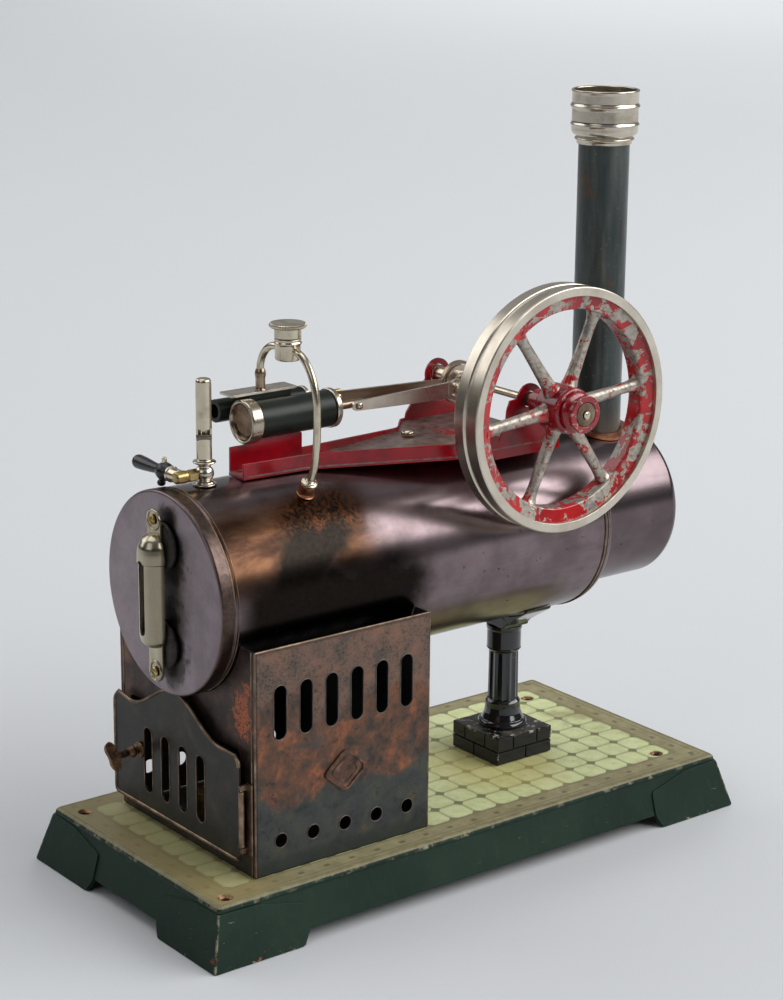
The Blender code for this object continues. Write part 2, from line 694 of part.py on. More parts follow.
def build_cylinder():
    """The working cylinder with its covers, piston and piston rod."""
    across = (CYLINDER_Y, CYLINDER_Z)
    left, right = CYLINDER_X
    ring("cylinder_barrel", "X", across, (BARREL_BORE, BARREL_RADIUS), CYLINDER_X, "dark_green_enamel",
         steps=MEDIUM)
    radius = REAR_COVER_RADIUS
    rear = [(0, left - GAP), (radius - 0.4, left - GAP), (radius, left - 0.8), (radius, left - 4.6),
            (radius - 0.7, left - 5.4), (radius - 1.5, left - 5.2), (radius - 2.4, left - 4.2),
            (radius - 5.0, left - 3.3), (0, left - 3.0)]
    turned("cylinder_rear_cover", rear, "X", across, "nickel", steps=MEDIUM)
    bore = PISTON_ROD_RADIUS + GAP
    front = [(bore, right + 3.2), (FRONT_COVER_RADIUS - 0.5, right + 3.2), (FRONT_COVER_RADIUS, right + 2.7),
             (FRONT_COVER_RADIUS, right + GAP), (bore, right + GAP)]
    turned("cylinder_front_cover", front, "X", across, "nickel", closed=True, steps=MEDIUM)
    piston = rod("piston", "X", across, BARREL_BORE - GAP, PISTON_X, "brass", steps=24)
    tip = PISTON_ROD_END_X
    stem = [(0, tip), (PISTON_ROD_RADIUS - 0.4, tip), (PISTON_ROD_RADIUS, tip - 0.4),
            (PISTON_ROD_RADIUS, PISTON_X[1] + GAP), (0, PISTON_X[1] + GAP)]
    piston_rod = turned("piston_rod", stem, "X", across, "brass", steps=COARSE)
    hang_on("piston_axis", (PISTON_X[0], CYLINDER_Y, CYLINDER_Z), [piston, piston_rod])


def build_valve_chest():
    """The valve tube beside the cylinder with its port block, cover plate, gland and valve."""
    across = (VALVE_Y, VALVE_Z)
    start, end = VALVE_TUBE_X
    chest = rod("valve_chest", "X", across, VALVE_TUBE_RADIUS, VALVE_TUBE_X, "dark_green_enamel", steps=24)
    join(chest, box("port_block", (-62.0, 8.8, 175.8), (-43.0, VALVE_Y - 0.2, CHEST_PLATE_Z[0] - GAP)))
    cut(chest, rod("valve_bore", "X", across, VALVE_BORE, (start - 2, end + 2), steps=24),
        rod("barrel_clearance", "X", (CYLINDER_Y, CYLINDER_Z), BARREL_RADIUS + GAP, (-80, -20), steps=MEDIUM))
    box("chest_cover_plate", (-70.0, 8.4, CHEST_PLATE_Z[0]), (-41.0, 17.0, CHEST_PLATE_Z[1]), "nickel")
    ring("valve_gland", "X", across, (1.2, VALVE_TUBE_RADIUS), (end + GAP, end + 2.5), "nickel", steps=24)
    stem, head = 0.9, VALVE_BORE - GAP
    spool = [(0, VALVE_PIN_X + 3), (stem, VALVE_PIN_X + 3), (stem, -40.0), (head, -40.0), (head, -44.0),
             (stem, -44.0), (stem, -55.0), (head, -55.0), (head, -59.0), (0, -59.0)]
    valve = turned("valve_spool", spool, "X", across, "brass", steps=20)
    hang_on("valve_axis", (VALVE_PIN_X, VALVE_Y, VALVE_Z), [valve])


# ---------------------------------------------------------------- crankshaft and rods

def crank_line():
    """The centre line of the bent-wire crankshaft, with the crank towards the cylinder."""
    near = CRANK_Y - CRANK_HALF_WIDTH
    far = CRANK_Y + CRANK_HALF_WIDTH
    bend = CRANK_BEND
    inner, outer = SHAFT_X - bend, CRANK_PIN_X + bend
    corners = [((inner, near - bend), 0, 90), ((outer, near + bend), 270, 180),
               ((outer, far - bend), 180, 90), ((inner, far + bend), 270, 360)]
    line = [(SHAFT_X, SHAFT_Y[0])]
    for centre, begin, finish_deg in corners:
        line += arc(centre, bend, begin, finish_deg, 4)
    line.append((SHAFT_X, SHAFT_Y[1]))
    return [(x, y, SHAFT_Z) for x, y in line]


def eccentric_centre():
    """The middle of the eccentric sheave in X and Z."""
    turn = math.radians(ECCENTRIC_ANGLE_DEG)
    return (SHAFT_X + ECCENTRIC_THROW * math.cos(turn), SHAFT_Z + ECCENTRIC_THROW * math.sin(turn))


def build_crankshaft():
    """The crankshaft, eccentric, flywheel and pulley, which turn together."""
    shaft = wire("crankshaft", crank_line(), SHAFT_RADIUS, "nickel", roundness=3)
    low, high = STRAP_Y
    sheave = plate("eccentric_sheave", [circle(eccentric_centre(), SHEAVE_RADIUS, 28),
                                        circle((SHAFT_X, SHAFT_Z), SHAFT_BORE, 16)], "XZ",
                   (low - 0.4, high + 0.4), "nickel")
    hang_on("crankshaft_axis", (SHAFT_X, 0, SHAFT_Z), [shaft, sheave, build_flywheel(), build_pulley()])


def build_rods():
    """The connecting rod with its crosshead rivet, and the eccentric strap with its rivet."""
    big_end, small_end = 4.2, 1.8
    height = 3.2
    outline = (arc((CRANK_PIN_X, SHAFT_Z), big_end, -130, 130, 14)
               + [(26.5, SHAFT_Z + height), (-14.0, SHAFT_Z + 1.9)]
               + arc((CROSSHEAD_X - 1.0, SHAFT_Z), small_end, 90, 270, 8)
               + [(-14.0, SHAFT_Z - 1.9), (26.5, SHAFT_Z - height)])
    connecting_rod = plate("connecting_rod", [outline, circle((CRANK_PIN_X, SHAFT_Z), SHAFT_BORE, 20),
                                              circle((CROSSHEAD_X, SHAFT_Z), 1.0, 12)], "XZ", ROD_Y, "nickel")
    near, far = ROD_Y
    crosshead = turned("crosshead_pin", [(0, far + 0.2), (0.7, far + 0.2), (0.7, near - 0.3), (1.4, near - 0.3),
                                         (1.2, near - 0.8), (0.6, near - 1.1), (0, near - 1.1)],
                       "Y", (CROSSHEAD_X, SHAFT_Z), "nickel", steps=12)
    hang_on("connecting_rod_axis", (CRANK_PIN_X, CRANK_Y, SHAFT_Z), [connecting_rod, crosshead])
    centre_x, centre_z = eccentric_centre()
    half_bar = 2.0
    end_z = centre_z + 2.1
    pin = (VALVE_PIN_X, end_z)
    reach = math.degrees(math.asin(half_bar / STRAP_RADIUS)) + 2
    strap_outline = (arc((centre_x, centre_z), STRAP_RADIUS, reach - 180, 180 - reach, 30)
                     + arc(pin, half_bar, 90, 270, 8))
    strap = plate("eccentric_strap", [strap_outline, circle((centre_x, centre_z), SHEAVE_RADIUS + GAP, 32),
                                      circle(pin, 1.0, 12)], "XZ", STRAP_Y, "brass")
    low, high = STRAP_Y
    rivet = turned("valve_rod_pin", [(0, high + 0.1), (0.7, high + 0.1), (0.7, low - 0.3), (1.4, low - 0.3),
                                     (1.2, low - 0.8), (0, low - 1.0)], "Y", pin, "nickel", steps=12)
    hang_on("eccentric_axis", (centre_x, low, centre_z), [strap, rivet])


def build_flywheel():
    """The cast flywheel: a grooved rim with a recessed web, six tapered spokes and a hub."""
    across = (SHAFT_X, SHAFT_Z)
    front, back = FLYWHEEL_Y
    radius, ring_radius, bore = FLYWHEEL_RADIUS, RIM_RING_RADIUS, RIM_BORE_RADIUS
    middle = (front + back) / 2
    profile = [(ring_radius, back), (radius - 0.5, back), (radius, back - 0.5), (radius, middle + 0.9),
               (radius - 0.9, middle), (radius, middle - 0.9), (radius, front + 0.5), (radius - 0.5, front),
               (ring_radius, front), (ring_radius - 0.6, front + 1.8), (bore + 0.6, front + 2.0),
               (bore, front + 2.6), (bore, back - 2.6), (bore + 0.6, back - 2.0),
               (ring_radius - 0.6, back - 1.8)]
    wheel = turned("flywheel", profile, "Y", across, "flywheel_iron", closed=True, steps=FINE)
    hub_profile = [(SHAFT_BORE, -30.5), (5.0, -30.5), (5.2, -37.0), (HUB_RADIUS - 0.5, -38.4),
                   (HUB_RADIUS, -44.0), (HUB_RADIUS - 0.4, -50.6), (HUB_RADIUS - 1.1, -51.3),
                   (SHAFT_BORE, -51.3)]
    join(wheel, turned("hub", hub_profile, "Y", across, closed=True, steps=24))
    shape = bmesh.new()
    inner, outer = 6.0, 39.5
    for index in range(SPOKE_COUNT):
        turn = math.radians(SPOKE_START_DEG + index * 360 / SPOKE_COUNT)
        outward = Vector((math.cos(turn), 0, math.sin(turn)))
        middle_point = Vector((SHAFT_X, SPOKE_Y, SHAFT_Z)) + outward * (inner + outer) / 2
        facing = Vector((0, 0, 1)).rotation_difference(outward).to_matrix().to_4x4()
        bmesh.ops.create_cone(shape, cap_ends=True, segments=12, radius1=2.6 * MM, radius2=2.1 * MM,
                              depth=(outer - inner) * MM,
                              matrix=Matrix.Translation(middle_point * MM) @ facing)
    mesh = bpy.data.meshes.new("spokes")
    shape.to_mesh(mesh)
    shape.free()
    return join(wheel, place(bpy.data.objects.new("spokes", mesh), None))


def build_pulley():
    """The small grooved pulley outside the flywheel."""
    radius, root = PULLEY_RADIUS, 5.6
    profile = [(SHAFT_BORE, -51.7), (radius, -51.7), (radius, -53.3), (root, -54.3), (root, -55.3),
               (radius, -56.3), (radius, -57.7), (radius - 0.4, -58.0), (SHAFT_BORE, -58.0)]
    return turned("drive_pulley", profile, "Y", (SHAFT_X, SHAFT_Z), "red_enamel", closed=True, steps=28)


# ---------------------------------------------------------------- fittings on the boiler

def build_whistle():
    """The whistle, the valve below it and the valve's handle."""
    across = (WHISTLE_X, 0)
    seat = BOILER_Z + BOILER_RADIUS + GAP
    ball, radius = WHISTLE_BALL_Z, 3.4
    bulge = [(radius * math.cos(math.radians(turn)), ball + radius * math.sin(math.radians(turn)))
             for turn in (50, 25, 0, -25, -50)]
    profile = [(0, 165.9), (2.4, 165.9), (4.0, 165.4), (4.0, 164.7), (2.6, 164.2), *bulge, (2.6, 157.8),
               (4.2, 157.6), (4.4, seat), (0, seat)]
    turned("whistle_base", profile, "Z", across, "nickel", steps=20)
    top = WHISTLE_TOP_Z
    tube = turned("whistle_tube", [(0, top), (WHISTLE_RADIUS - 1.0, top), (WHISTLE_RADIUS - 0.3, top - 0.3),
                                   (WHISTLE_RADIUS, top - 1.0), (WHISTLE_RADIUS, 166.2), (0, 166.2)],
                  "Z", across, "nickel", steps=20)
    cut(tube, rod("whistle_bore", "Z", across, WHISTLE_RADIUS - 0.6, (175.2, 193.0), steps=16),
        box("whistle_mouth", (WHISTLE_X - 5, -5, 174.6), (WHISTLE_X + 5, -0.6, 177.4)))
    body = rod("whistle_valve_body", "X", (0, VALVE_AXIS_Z), 2.3, (-100.4, WHISTLE_X - radius - GAP), "brass",
               steps=8)
    axis = (VALVE_AXIS_X, VALVE_AXIS_Z)
    join(body, rod("valve_elbow", "Y", axis, 2.6, (0, 6.4), steps=16))
    cut(body, rod("spindle_bore", "Y", axis, 1.5, (3.0, 8.0), steps=12))
    grip = [(0, 29.4), (1.8, 29.4), (2.5, 28.6), (2.6, 26.5), (1.7, 13.6), (2.8, 12.6), (3.5, 10.6),
            (2.8, 8.4), (2.4, 6.8), (1.2, 6.8), (1.2, 3.6), (0, 3.6)]
    handle = turned("whistle_valve_handle", grip, "Y", axis, "black_enamel", steps=20)
    top_pin = rod("valve_cross_pin", "Z", (VALVE_AXIS_X, 10.6), 0.9, (VALVE_AXIS_Z + 3.9, VALVE_AXIS_Z + 5.4),
                  "nickel", steps=12)
    drop = VALVE_AXIS_Z - 4.6
    knob_profile = [(0, drop + 3.6), (0.7, drop + 3.6), (0.7, drop + 1.4), (1.6, drop + 0.5),
                    (1.6, drop - 0.5), (0.8, drop - 1.4), (0, drop - 1.4)]
    join(handle, turned("handle_knob", knob_profile, "Z", (VALVE_AXIS_X, 13.2), steps=12))
    hang_on("whistle_valve_axis", (VALVE_AXIS_X, 6.4, VALVE_AXIS_Z), [handle, top_pin])


def build_water_gauge():
    """The gauge: a slotted shield with ears, the glass behind it, its two bosses and screws."""
    low, high = GAUGE_Z
    across = (GAUGE_X, 0)
    radius, wall = GAUGE_SHELL_RADIUS, 0.8
    bottom, top = 99.4, 142.0
    shield = turned("gauge_frame", [(0, top), (3.6, top - 0.8), (radius, top - 4.0), (radius + 0.4, top - 5),
                                    (radius + 0.4, top - 10), (radius, top - 11), (radius, bottom + 4.0),
                                    (3.6, bottom + 0.8), (0, bottom)], "Z", across, "nickel", steps=24)
    inside = (bottom + 4.4, top - 4.4)
    hollow = rod("gauge_hollow", "Z", across, radius - wall, inside, steps=24)
    behind = box("gauge_behind", (GAUGE_X + 0.1, -10, low - 5), (GAUGE_X + 20, 10, high + 5))
    window = box("gauge_window", (GAUGE_X - 10, -1.7, inside[0] + 0.8), (GAUGE_X - 3, 1.7, 133.0))
    ear = 4.4
    outline = arc((0, high - ear), ear, 0, 180, 10) + arc((0, low + ear), ear, 180, 360, 10)
    back_plate = plate("gauge_back_plate", [outline, slot(0, inside, 7.4)], "YZ",
                       (GAUGE_X - 0.4, GAUGE_X + 0.4))
    cut(shield, hollow, behind, window)
    join(shield, back_plate)
    rod("gauge_glass", "Z", (GAUGE_X - 2.0, 0), 2.2, (inside[0] + GAP, inside[1] - GAP), "glass", steps=16)
    face = CAP_FACE_X - GAP
    for name, z in zip(("gauge_lower_boss", "gauge_upper_boss"), GAUGE_BOSS_Z):
        rod(name, "X", (-1.5, z), 9.0, (GAUGE_X + 0.4 + GAP, face), "gasket", steps=24)
    for name, z in zip(("gauge_screw_bottom", "gauge_screw_top"), GAUGE_SCREW_Z):
        rod(name, "X", (0, z), 1.9, (GAUGE_X - 1.6, GAUGE_X - 0.4 - GAP), "nickel", steps=12)


def along_stub(distance):
    """A point on the line of the boiler's steam stub, this far outside the boiler."""
    turn = math.radians(STUB_ANGLE_DEG)
    reach = BOILER_RADIUS + distance
    return (PIPE_X, -reach * math.sin(turn), BOILER_Z + reach * math.cos(turn))


def stub_piece(name, radius, ends, finish_name):
    """A round piece on the steam stub's line."""
    item = rod(name, "Z", (0, 0), radius, ends, finish_name, steps=16)
    lean = Matrix.Rotation(math.radians(STUB_ANGLE_DEG), 4, "X")
    item.matrix_world = Matrix.Translation(Vector(along_stub(0)) * MM) @ lean
    return item


def build_steam_pipes():
    """The boiler's steam stub, the pipes over to the valve chest and the lubricator between them."""
    stub_piece("steam_stub", 2.8, (0.4, 4.6), "copper")
    stub_piece("pipe_union_nut", 3.2, (4.9, 6.7), "nickel")
    pot_side = 4.7 + GAP
    knots = [along_stub(7.0), (PIPE_X, -24.0, 166.0), (PIPE_X, -25.2, 175.0), (PIPE_X, -25.2, 184.0),
             (PIPE_X, -23.6, 192.5), (PIPE_X, -20.0, 198.8), (PIPE_X, -15.8, 202.4),
             (PIPE_X, POT_Y - pot_side, PIPE_INLET_Z)]
    wire("steam_pipe_boiler", smooth_line(knots, 3), PIPE_RADIUS, "nickel", roundness=2)
    sleeve_top = 193.4
    knots = [(PIPE_X, POT_Y + pot_side, PIPE_INLET_Z), (PIPE_X, 1.4, 203.0), (PIPE_X, 6.0, 201.0),
             (PIPE_X, 9.2, 197.4), (PIPE_X, CHEST_PIPE_Y, sleeve_top + GAP)]
    wire("steam_pipe_chest", smooth_line(knots, 3), PIPE_RADIUS, "nickel", roundness=2)
    sleeve = [(0, sleeve_top), (1.5, sleeve_top), (2.1, sleeve_top - 1.0), (2.1, sleeve_top - 2.0),
              (1.75, sleeve_top - 2.8), (1.75, CHEST_PLATE_Z[1] + GAP), (0, CHEST_PLATE_Z[1] + GAP)]
    turned("pipe_sleeve", sleeve, "Z", (PIPE_X, CHEST_PIPE_Y), "nickel", steps=16)
    pot = POT_Z
    across = (PIPE_X, POT_Y)
    profile = [(3.2, pot + 8.0), (4.9, pot + 8.0), (4.9, pot + 6.9), (5.15, pot + 6.4), (4.9, pot + 5.9),
               (4.65, pot + 5.7), (4.65, pot + 0.5), (4.2, pot), (0, pot), (0, pot + 1.2), (3.2, pot + 1.2)]
    turned("lubricator_pot", [(0, pot + 1.2), (3.2, pot + 1.2), *profile[:9]], "Z", across, "nickel", steps=24)
    rim = pot + 11.8
    cap = [(0, rim + 2.0), (6.3, rim + 2.0), (6.9, rim + 1.6), (6.9, rim + 0.3), (6.5, rim), (4.95, rim),
           (4.95, pot + 8.3), (2.9, pot + 8.3), (2.9, pot + 4.0), (0, pot + 4.0)]
    lid = turned("lubricator_cap", cap, "Z", across, "nickel", steps=28)
    hang_on("lubricator_cap_axis", (PIPE_X, POT_Y, rim), [lid])


clear_scene()
PARTS = new_collection("model_steam_engine")
CUTTERS = new_collection("cutters")
build_base()
build_firebox()
build_door()
build_burner()
build_boiler()
build_smokebox()
build_chimney_cap()
build_column()
build_bed()
build_cylinder()
build_valve_chest()
build_crankshaft()
build_rods()
build_whistle()
build_water_gauge()
build_steam_pipes()
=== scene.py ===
"""Looks for the model steam engine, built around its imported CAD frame.

Lengths are in millimetres and become metres where a mesh is made; inside a material they are metres.
The axes are the frame's: +X along the boiler from the firebox to the chimney, -Y the flywheel side, +Z up.
"""
import math

import bmesh
import bpy
from mathutils import Matrix, Vector


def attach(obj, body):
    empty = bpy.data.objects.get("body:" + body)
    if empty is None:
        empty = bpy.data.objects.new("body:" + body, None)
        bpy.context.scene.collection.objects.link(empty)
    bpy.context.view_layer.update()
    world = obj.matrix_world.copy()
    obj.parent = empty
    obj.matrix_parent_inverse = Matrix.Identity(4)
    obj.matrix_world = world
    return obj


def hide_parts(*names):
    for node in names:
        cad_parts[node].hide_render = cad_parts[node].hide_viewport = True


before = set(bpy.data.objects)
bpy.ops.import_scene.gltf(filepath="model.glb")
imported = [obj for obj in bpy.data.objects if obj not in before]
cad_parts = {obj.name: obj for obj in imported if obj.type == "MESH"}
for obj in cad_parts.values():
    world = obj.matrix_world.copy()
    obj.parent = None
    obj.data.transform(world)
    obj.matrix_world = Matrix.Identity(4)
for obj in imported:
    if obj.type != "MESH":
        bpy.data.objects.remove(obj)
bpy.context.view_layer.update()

MM = 0.001
# clearance between pieces that would touch
GAP = 0.3
ROOT = "engine_frame"

BASE_TOP = 21.8
BOILER_Z = 119.1
BOILER_R = 37.4
BOILER_AXIS = (0, BOILER_Z)
SHAFT_X, SHAFT_Z = SHAFT_AXIS = (42.9, 175.1)
CRANK_X = 30.9
CYLINDER = (6.0, 175.4)
VALVE = (19.3, 177.4)
CHIMNEY = (101.5, 0.0)
COLUMN = (55.3, 0.0)
WHISTLE = (-87.9, 0.0)
WHISTLE_VALVE = (-98, 160.8)
# left, right, half width, top
FIREBOX = (-97.5, -18.8, 44.3, 106.9)
HINGE = (-100.55, -40.2)
ECCENTRIC_THROW, ECCENTRIC_TURN = (1.5, math.radians(295))
ECCENTRIC = (SHAFT_X + ECCENTRIC_THROW * math.cos(ECCENTRIC_TURN),
             SHAFT_Z + ECCENTRIC_THROW * math.sin(ECCENTRIC_TURN))


# ---------------------------------------------------------------- materials

class Value:
    """A number or colour that varies over a surface. Arithmetic on it adds nodes to its material."""

    def __init__(self, look, socket):
        self.look = look
        self.socket = socket

    def calc(self, operation, other=0.0):
        return self.look.calc(operation, self, other)

    def __add__(self, other):
        return self.calc("ADD", other)

    def __sub__(self, other):
        return self.calc("SUBTRACT", other)

    def __rsub__(self, other):
        return self.look.calc("SUBTRACT", other, self)

    def __mul__(self, other):
        return self.calc("MULTIPLY", other)

    def __truediv__(self, other):
        return self.calc("DIVIDE", other)

    def __abs__(self):
        return self.calc("ABSOLUTE")

    def rise(self, low, high):
        """0 below low, 1 above high, smooth between; low may be above high."""
        ends = (1.0, 0.0) if low > high else (0.0, 1.0)
        return self.look.node("ShaderNodeMapRange",
                              {0: self, 1: min(low, high), 2: max(low, high), 3: ends[0], 4: ends[1]},
                              interpolation_type="SMOOTHSTEP")

    def within(self, low, high, soft):
        return self.rise(low - soft, low + soft) * self.rise(high + soft, high - soft)

    def blend(self, first, second):
        return self.look.node("ShaderNodeMix", {0: self, 2: first, 3: second}, data_type="FLOAT")

    def ramp(self, *stops):
        """A colour ramp through (position, colour) stops."""
        node = self.look.tree.nodes.new("ShaderNodeValToRGB")
        self.look.put(node.inputs[0], self)
        elements = node.color_ramp.elements
        while len(elements) < len(stops):
            elements.new(0.5)
        for element, (position, colour) in zip(elements, stops):
            element.position = position
            element.color = (*colour, 1.0)
        return Value(self.look, node.outputs[0])


def most(first, *others):
    """The highest of several values."""
    for other in others:
        first = first.calc("MAXIMUM", other)
    return first


def length(first, second):
    return (first * first + second * second).calc("SQRT")


class Look:
    """One procedural material, built up node by node. Positions are in metres."""

    def __init__(self, name):
        self.material = bpy.data.materials.new(name)
        self.material.use_nodes = True
        self.tree = self.material.node_tree
        self.shader = self.tree.nodes["Principled BSDF"]
        self.place = self.tree.nodes.new("ShaderNodeTexCoord").outputs["Object"]
        parts = self.tree.nodes.new("ShaderNodeSeparateXYZ")
        self.put(parts.inputs[0], self.place)
        self.x, self.y, self.z = (Value(self, socket) for socket in parts.outputs)

    def put(self, socket, value):
        if isinstance(value, Value):
            value = value.socket
        if isinstance(value, bpy.types.NodeSocket):
            self.tree.links.new(value, socket)
        elif isinstance(value, tuple) and len(value) == 3 and (socket.type == "RGBA"):
            socket.default_value = (*value, 1.0)
        else:
            socket.default_value = value

    def node(self, kind, inputs, output=0, **settings):
        """A new node's output, after its settings and inputs are set."""
        node = self.tree.nodes.new(kind)
        for key, value in settings.items():
            setattr(node, key, value)
        for key, value in inputs.items():
            self.put(node.inputs[key], value)
        return Value(self, node.outputs[output])

    def noise(self, scale, detail=4.0, rough=0.55, stretch=(1, 1, 1), seed=0.0, warp=0.0):
        place = self.node("ShaderNodeMapping",
                          {"Vector": self.place, "Location": (seed, seed * 0.7, seed * 1.3),
                           "Scale": stretch})
        return self.node("ShaderNodeTexNoise",
                         {"Vector": place, "Scale": scale, "Detail": detail, "Roughness": rough,
                          "Distortion": warp}, "Fac")

    def calc(self, operation, first, second):
        return self.node("ShaderNodeMath", {0: first, 1: second}, operation=operation)

    def mix(self, factor, first, second):
        return self.node("ShaderNodeMix", {0: factor, 6: first, 7: second}, 2, data_type="RGBA")

    def bump(self, height, strength, distance_mm):
        """A bump on top of the bumps that are already there."""
        normal = self.shader.inputs["Normal"]
        inputs = {"Strength": strength, "Distance": distance_mm * MM, "Height": height}
        if normal.is_linked:
            inputs["Normal"] = normal.links[0].from_socket
        self.put(normal, self.node("ShaderNodeBump", inputs))

    def done(self, colour, roughness, metallic, **extras):
        for key, value in {"Base Color": colour, "Roughness": roughness, "Metallic": metallic,
                           **extras}.items():
            self.put(self.shader.inputs[key.replace("_", " ")], value)
        return self.material


def look_mottled(name, noise, stops, bump, rough, metallic):
    """A material whose colour, bump and roughness follow one noise: scale, detail, rough, seed."""
    look = Look(name)
    mottle = look.noise(*noise[:3], seed=noise[3])
    look.bump(mottle, *bump)
    return look.done(mottle.ramp(*stops), mottle.blend(*rough), metallic)


def look_nickel(name="aged_nickel", tint=(0.63, 0.565, 0.44), stain=(0.31, 0.255, 0.165)):
    look = Look(name)
    cloud = look.noise(120, 6, 0.6, seed=2.0)
    fine = look.noise(1400, 5, 0.65, seed=5.0)
    spots = look.noise(700, 3, 0.6, seed=9.0).rise(0.69, 0.75)
    colour = look.mix(cloud.rise(0.45, 0.8), tint, stain)
    colour = look.mix(fine.rise(0.5, 0.75) * 0.2, colour, stain)
    colour = look.mix(spots * 0.7, colour, (0.1, 0.08, 0.06))
    rough = cloud.blend(0.14, 0.34)
    look.bump(fine, 0.03, 0.04)
    return look.done(colour, most(rough, spots * 0.6), 1.0)


def look_gauge_nickel():
    """Yellowed nickel, with painted shade darkening the side turned from the filler (towards -Y)."""
    look = Look("yellowed_nickel")
    cloud = look.noise(90, 6, 0.62, (1, 1, 0.4), seed=2.5)
    fine = look.noise(1400, 5, 0.65, seed=5.0)
    # painted shade: the -Y side of the gauge is darkened as if it lay in shadow
    painted_shade_side = (look.y + (cloud - 0.5) * 0.006).rise(0.0012, -0.0052)
    colour = look.mix(cloud.rise(0.42, 0.75), (0.6, 0.55, 0.42), (0.36, 0.31, 0.21))
    colour = look.mix(painted_shade_side * 0.62, colour, (0.16, 0.135, 0.085))
    colour = look.mix(fine.rise(0.55, 0.75) * 0.25, colour, (0.2, 0.16, 0.1))
    look.bump(fine, 0.03, 0.04)
    return look.done(colour, cloud.blend(0.17, 0.34), 1.0)


def look_turned_steel():
    look = Look("bright_turned_steel")
    rings = look.noise(60, 4, 0.6, (1, 40, 1), seed=1.0)
    cloud = look.noise(70, 5, 0.6, seed=7.0)
    stain = look.noise(260, 5, 0.65, seed=15.0).rise(0.62, 0.74)
    colour = look.mix(cloud.rise(0.4, 0.75), (0.7, 0.64, 0.54), (0.54, 0.48, 0.4))
    colour = look.mix(rings.rise(0.45, 0.8) * 0.3, colour, (0.36, 0.29, 0.22))
    colour = look.mix(stain * 0.18, colour, (0.2, 0.15, 0.1))
    look.bump(rings, 0.04, 0.05)
    return look.done(colour, cloud.blend(0.22, 0.36), 1.0)


def look_worn_red():
    look = Look("worn_red_enamel")
    cloud = look.noise(70, 4, 0.6, seed=3.0)
    red = look.mix(cloud.rise(0.35, 0.7), (0.36, 0.007, 0.014), (0.17, 0.004, 0.008))
    chips = look.noise(420, 6, 0.62, seed=11.0, warp=0.6).rise(0.61, 0.63)
    bare = look.noise(240, 5, 0.6, seed=4.0).ramp((0.3, (0.1, 0.08, 0.07)), (0.6, (0.42, 0.38, 0.32)))
    look.bump(1.0 - chips, 0.3, 0.12)
    look.bump(look.noise(150, 3, 0.5, seed=6.0), 0.05, 0.3)
    return look.done(look.mix(chips, red, bare), chips.blend(0.22, 0.5), chips * 0.6, Coat_Weight=0.35,
                     Coat_Roughness=0.12)


def look_bed_floor():
    """The bed's red enamel with the rubbed grey floor, worn edges and oily dirt."""
    look = Look("bed_enamel")
    cloud = look.noise(60, 5, 0.6, seed=3.0)
    red = look.mix(cloud.rise(0.35, 0.7), (0.38, 0.004, 0.012), (0.15, 0.003, 0.006))
    flat = look.z.within(0.1575, 0.158, 0.0002)
    rub = look.noise(55, 6, 0.62, seed=21.0).rise(0.3, 0.46)
    bare = look.noise(300, 6, 0.6, seed=4.0).ramp((0.3, (0.1, 0.055, 0.05)), (0.7, (0.3, 0.24, 0.21)))
    flakes = look.noise(500, 6, 0.65, seed=12.0).rise(0.71, 0.73)
    worn = most(flat * rub, flakes)
    dark = look.noise(35, 4, 0.6, seed=8.0).rise(0.58, 0.7)
    colour = look.mix(dark * 0.6, red, (0.05, 0.005, 0.008))
    colour = look.mix(worn, colour, bare)
    look.bump(1.0 - worn, 0.25, 0.1)
    look.bump(look.noise(130, 3, 0.5, seed=6.0), 0.06, 0.4)
    return look.done(colour, worn.blend(0.24, 0.42), worn * 0.5, Specular_IOR_Level=0.4, Coat_Weight=0.1,
                     Coat_Roughness=0.12)


def look_wheel_web():
    """The flywheel's web and spokes: red paint worn through to the cast metal."""
    look = Look("worn_wheel_red")
    flake = look.noise(165, 8, 0.68, seed=31.0, warp=0.4)
    fine = look.noise(620, 5, 0.6, seed=5.0)
    # the spokes are rubbed bare more than the rim's web
    dx = look.x - SHAFT_X * MM
    dz = look.z - SHAFT_Z * MM
    reach = length(dx, dz)
    spoke = reach.within(0.0135, 0.0345, 0.0025)
    level = spoke.blend(0.5, 0.43)
    bared = (flake - level).rise(-0.008, 0.008)
    bared = most(bared, spoke * fine.rise(0.5, 0.53))
    red = look.mix(look.noise(90, 4, seed=2.0).rise(0.35, 0.7), (0.5, 0.01, 0.012), (0.28, 0.006, 0.009))
    grey = look.noise(75, 4, 0.6, seed=33.0)
    metal = fine.ramp((0.32, (0.2, 0.17, 0.14)), (0.48, (0.42, 0.38, 0.32)), (0.7, (0.54, 0.5, 0.43)))
    metal = look.mix(grey.rise(0.52, 0.66) * 0.75, metal, (0.15, 0.16, 0.155))
    look.bump(1.0 - bared, 0.3, 0.12)
    look.bump(fine, 0.06, 0.1)
    return look.done(look.mix(bared, red, metal), bared.blend(0.22, 0.45), bared * 0.75, Coat_Weight=0.2,
                     Coat_Roughness=0.15)


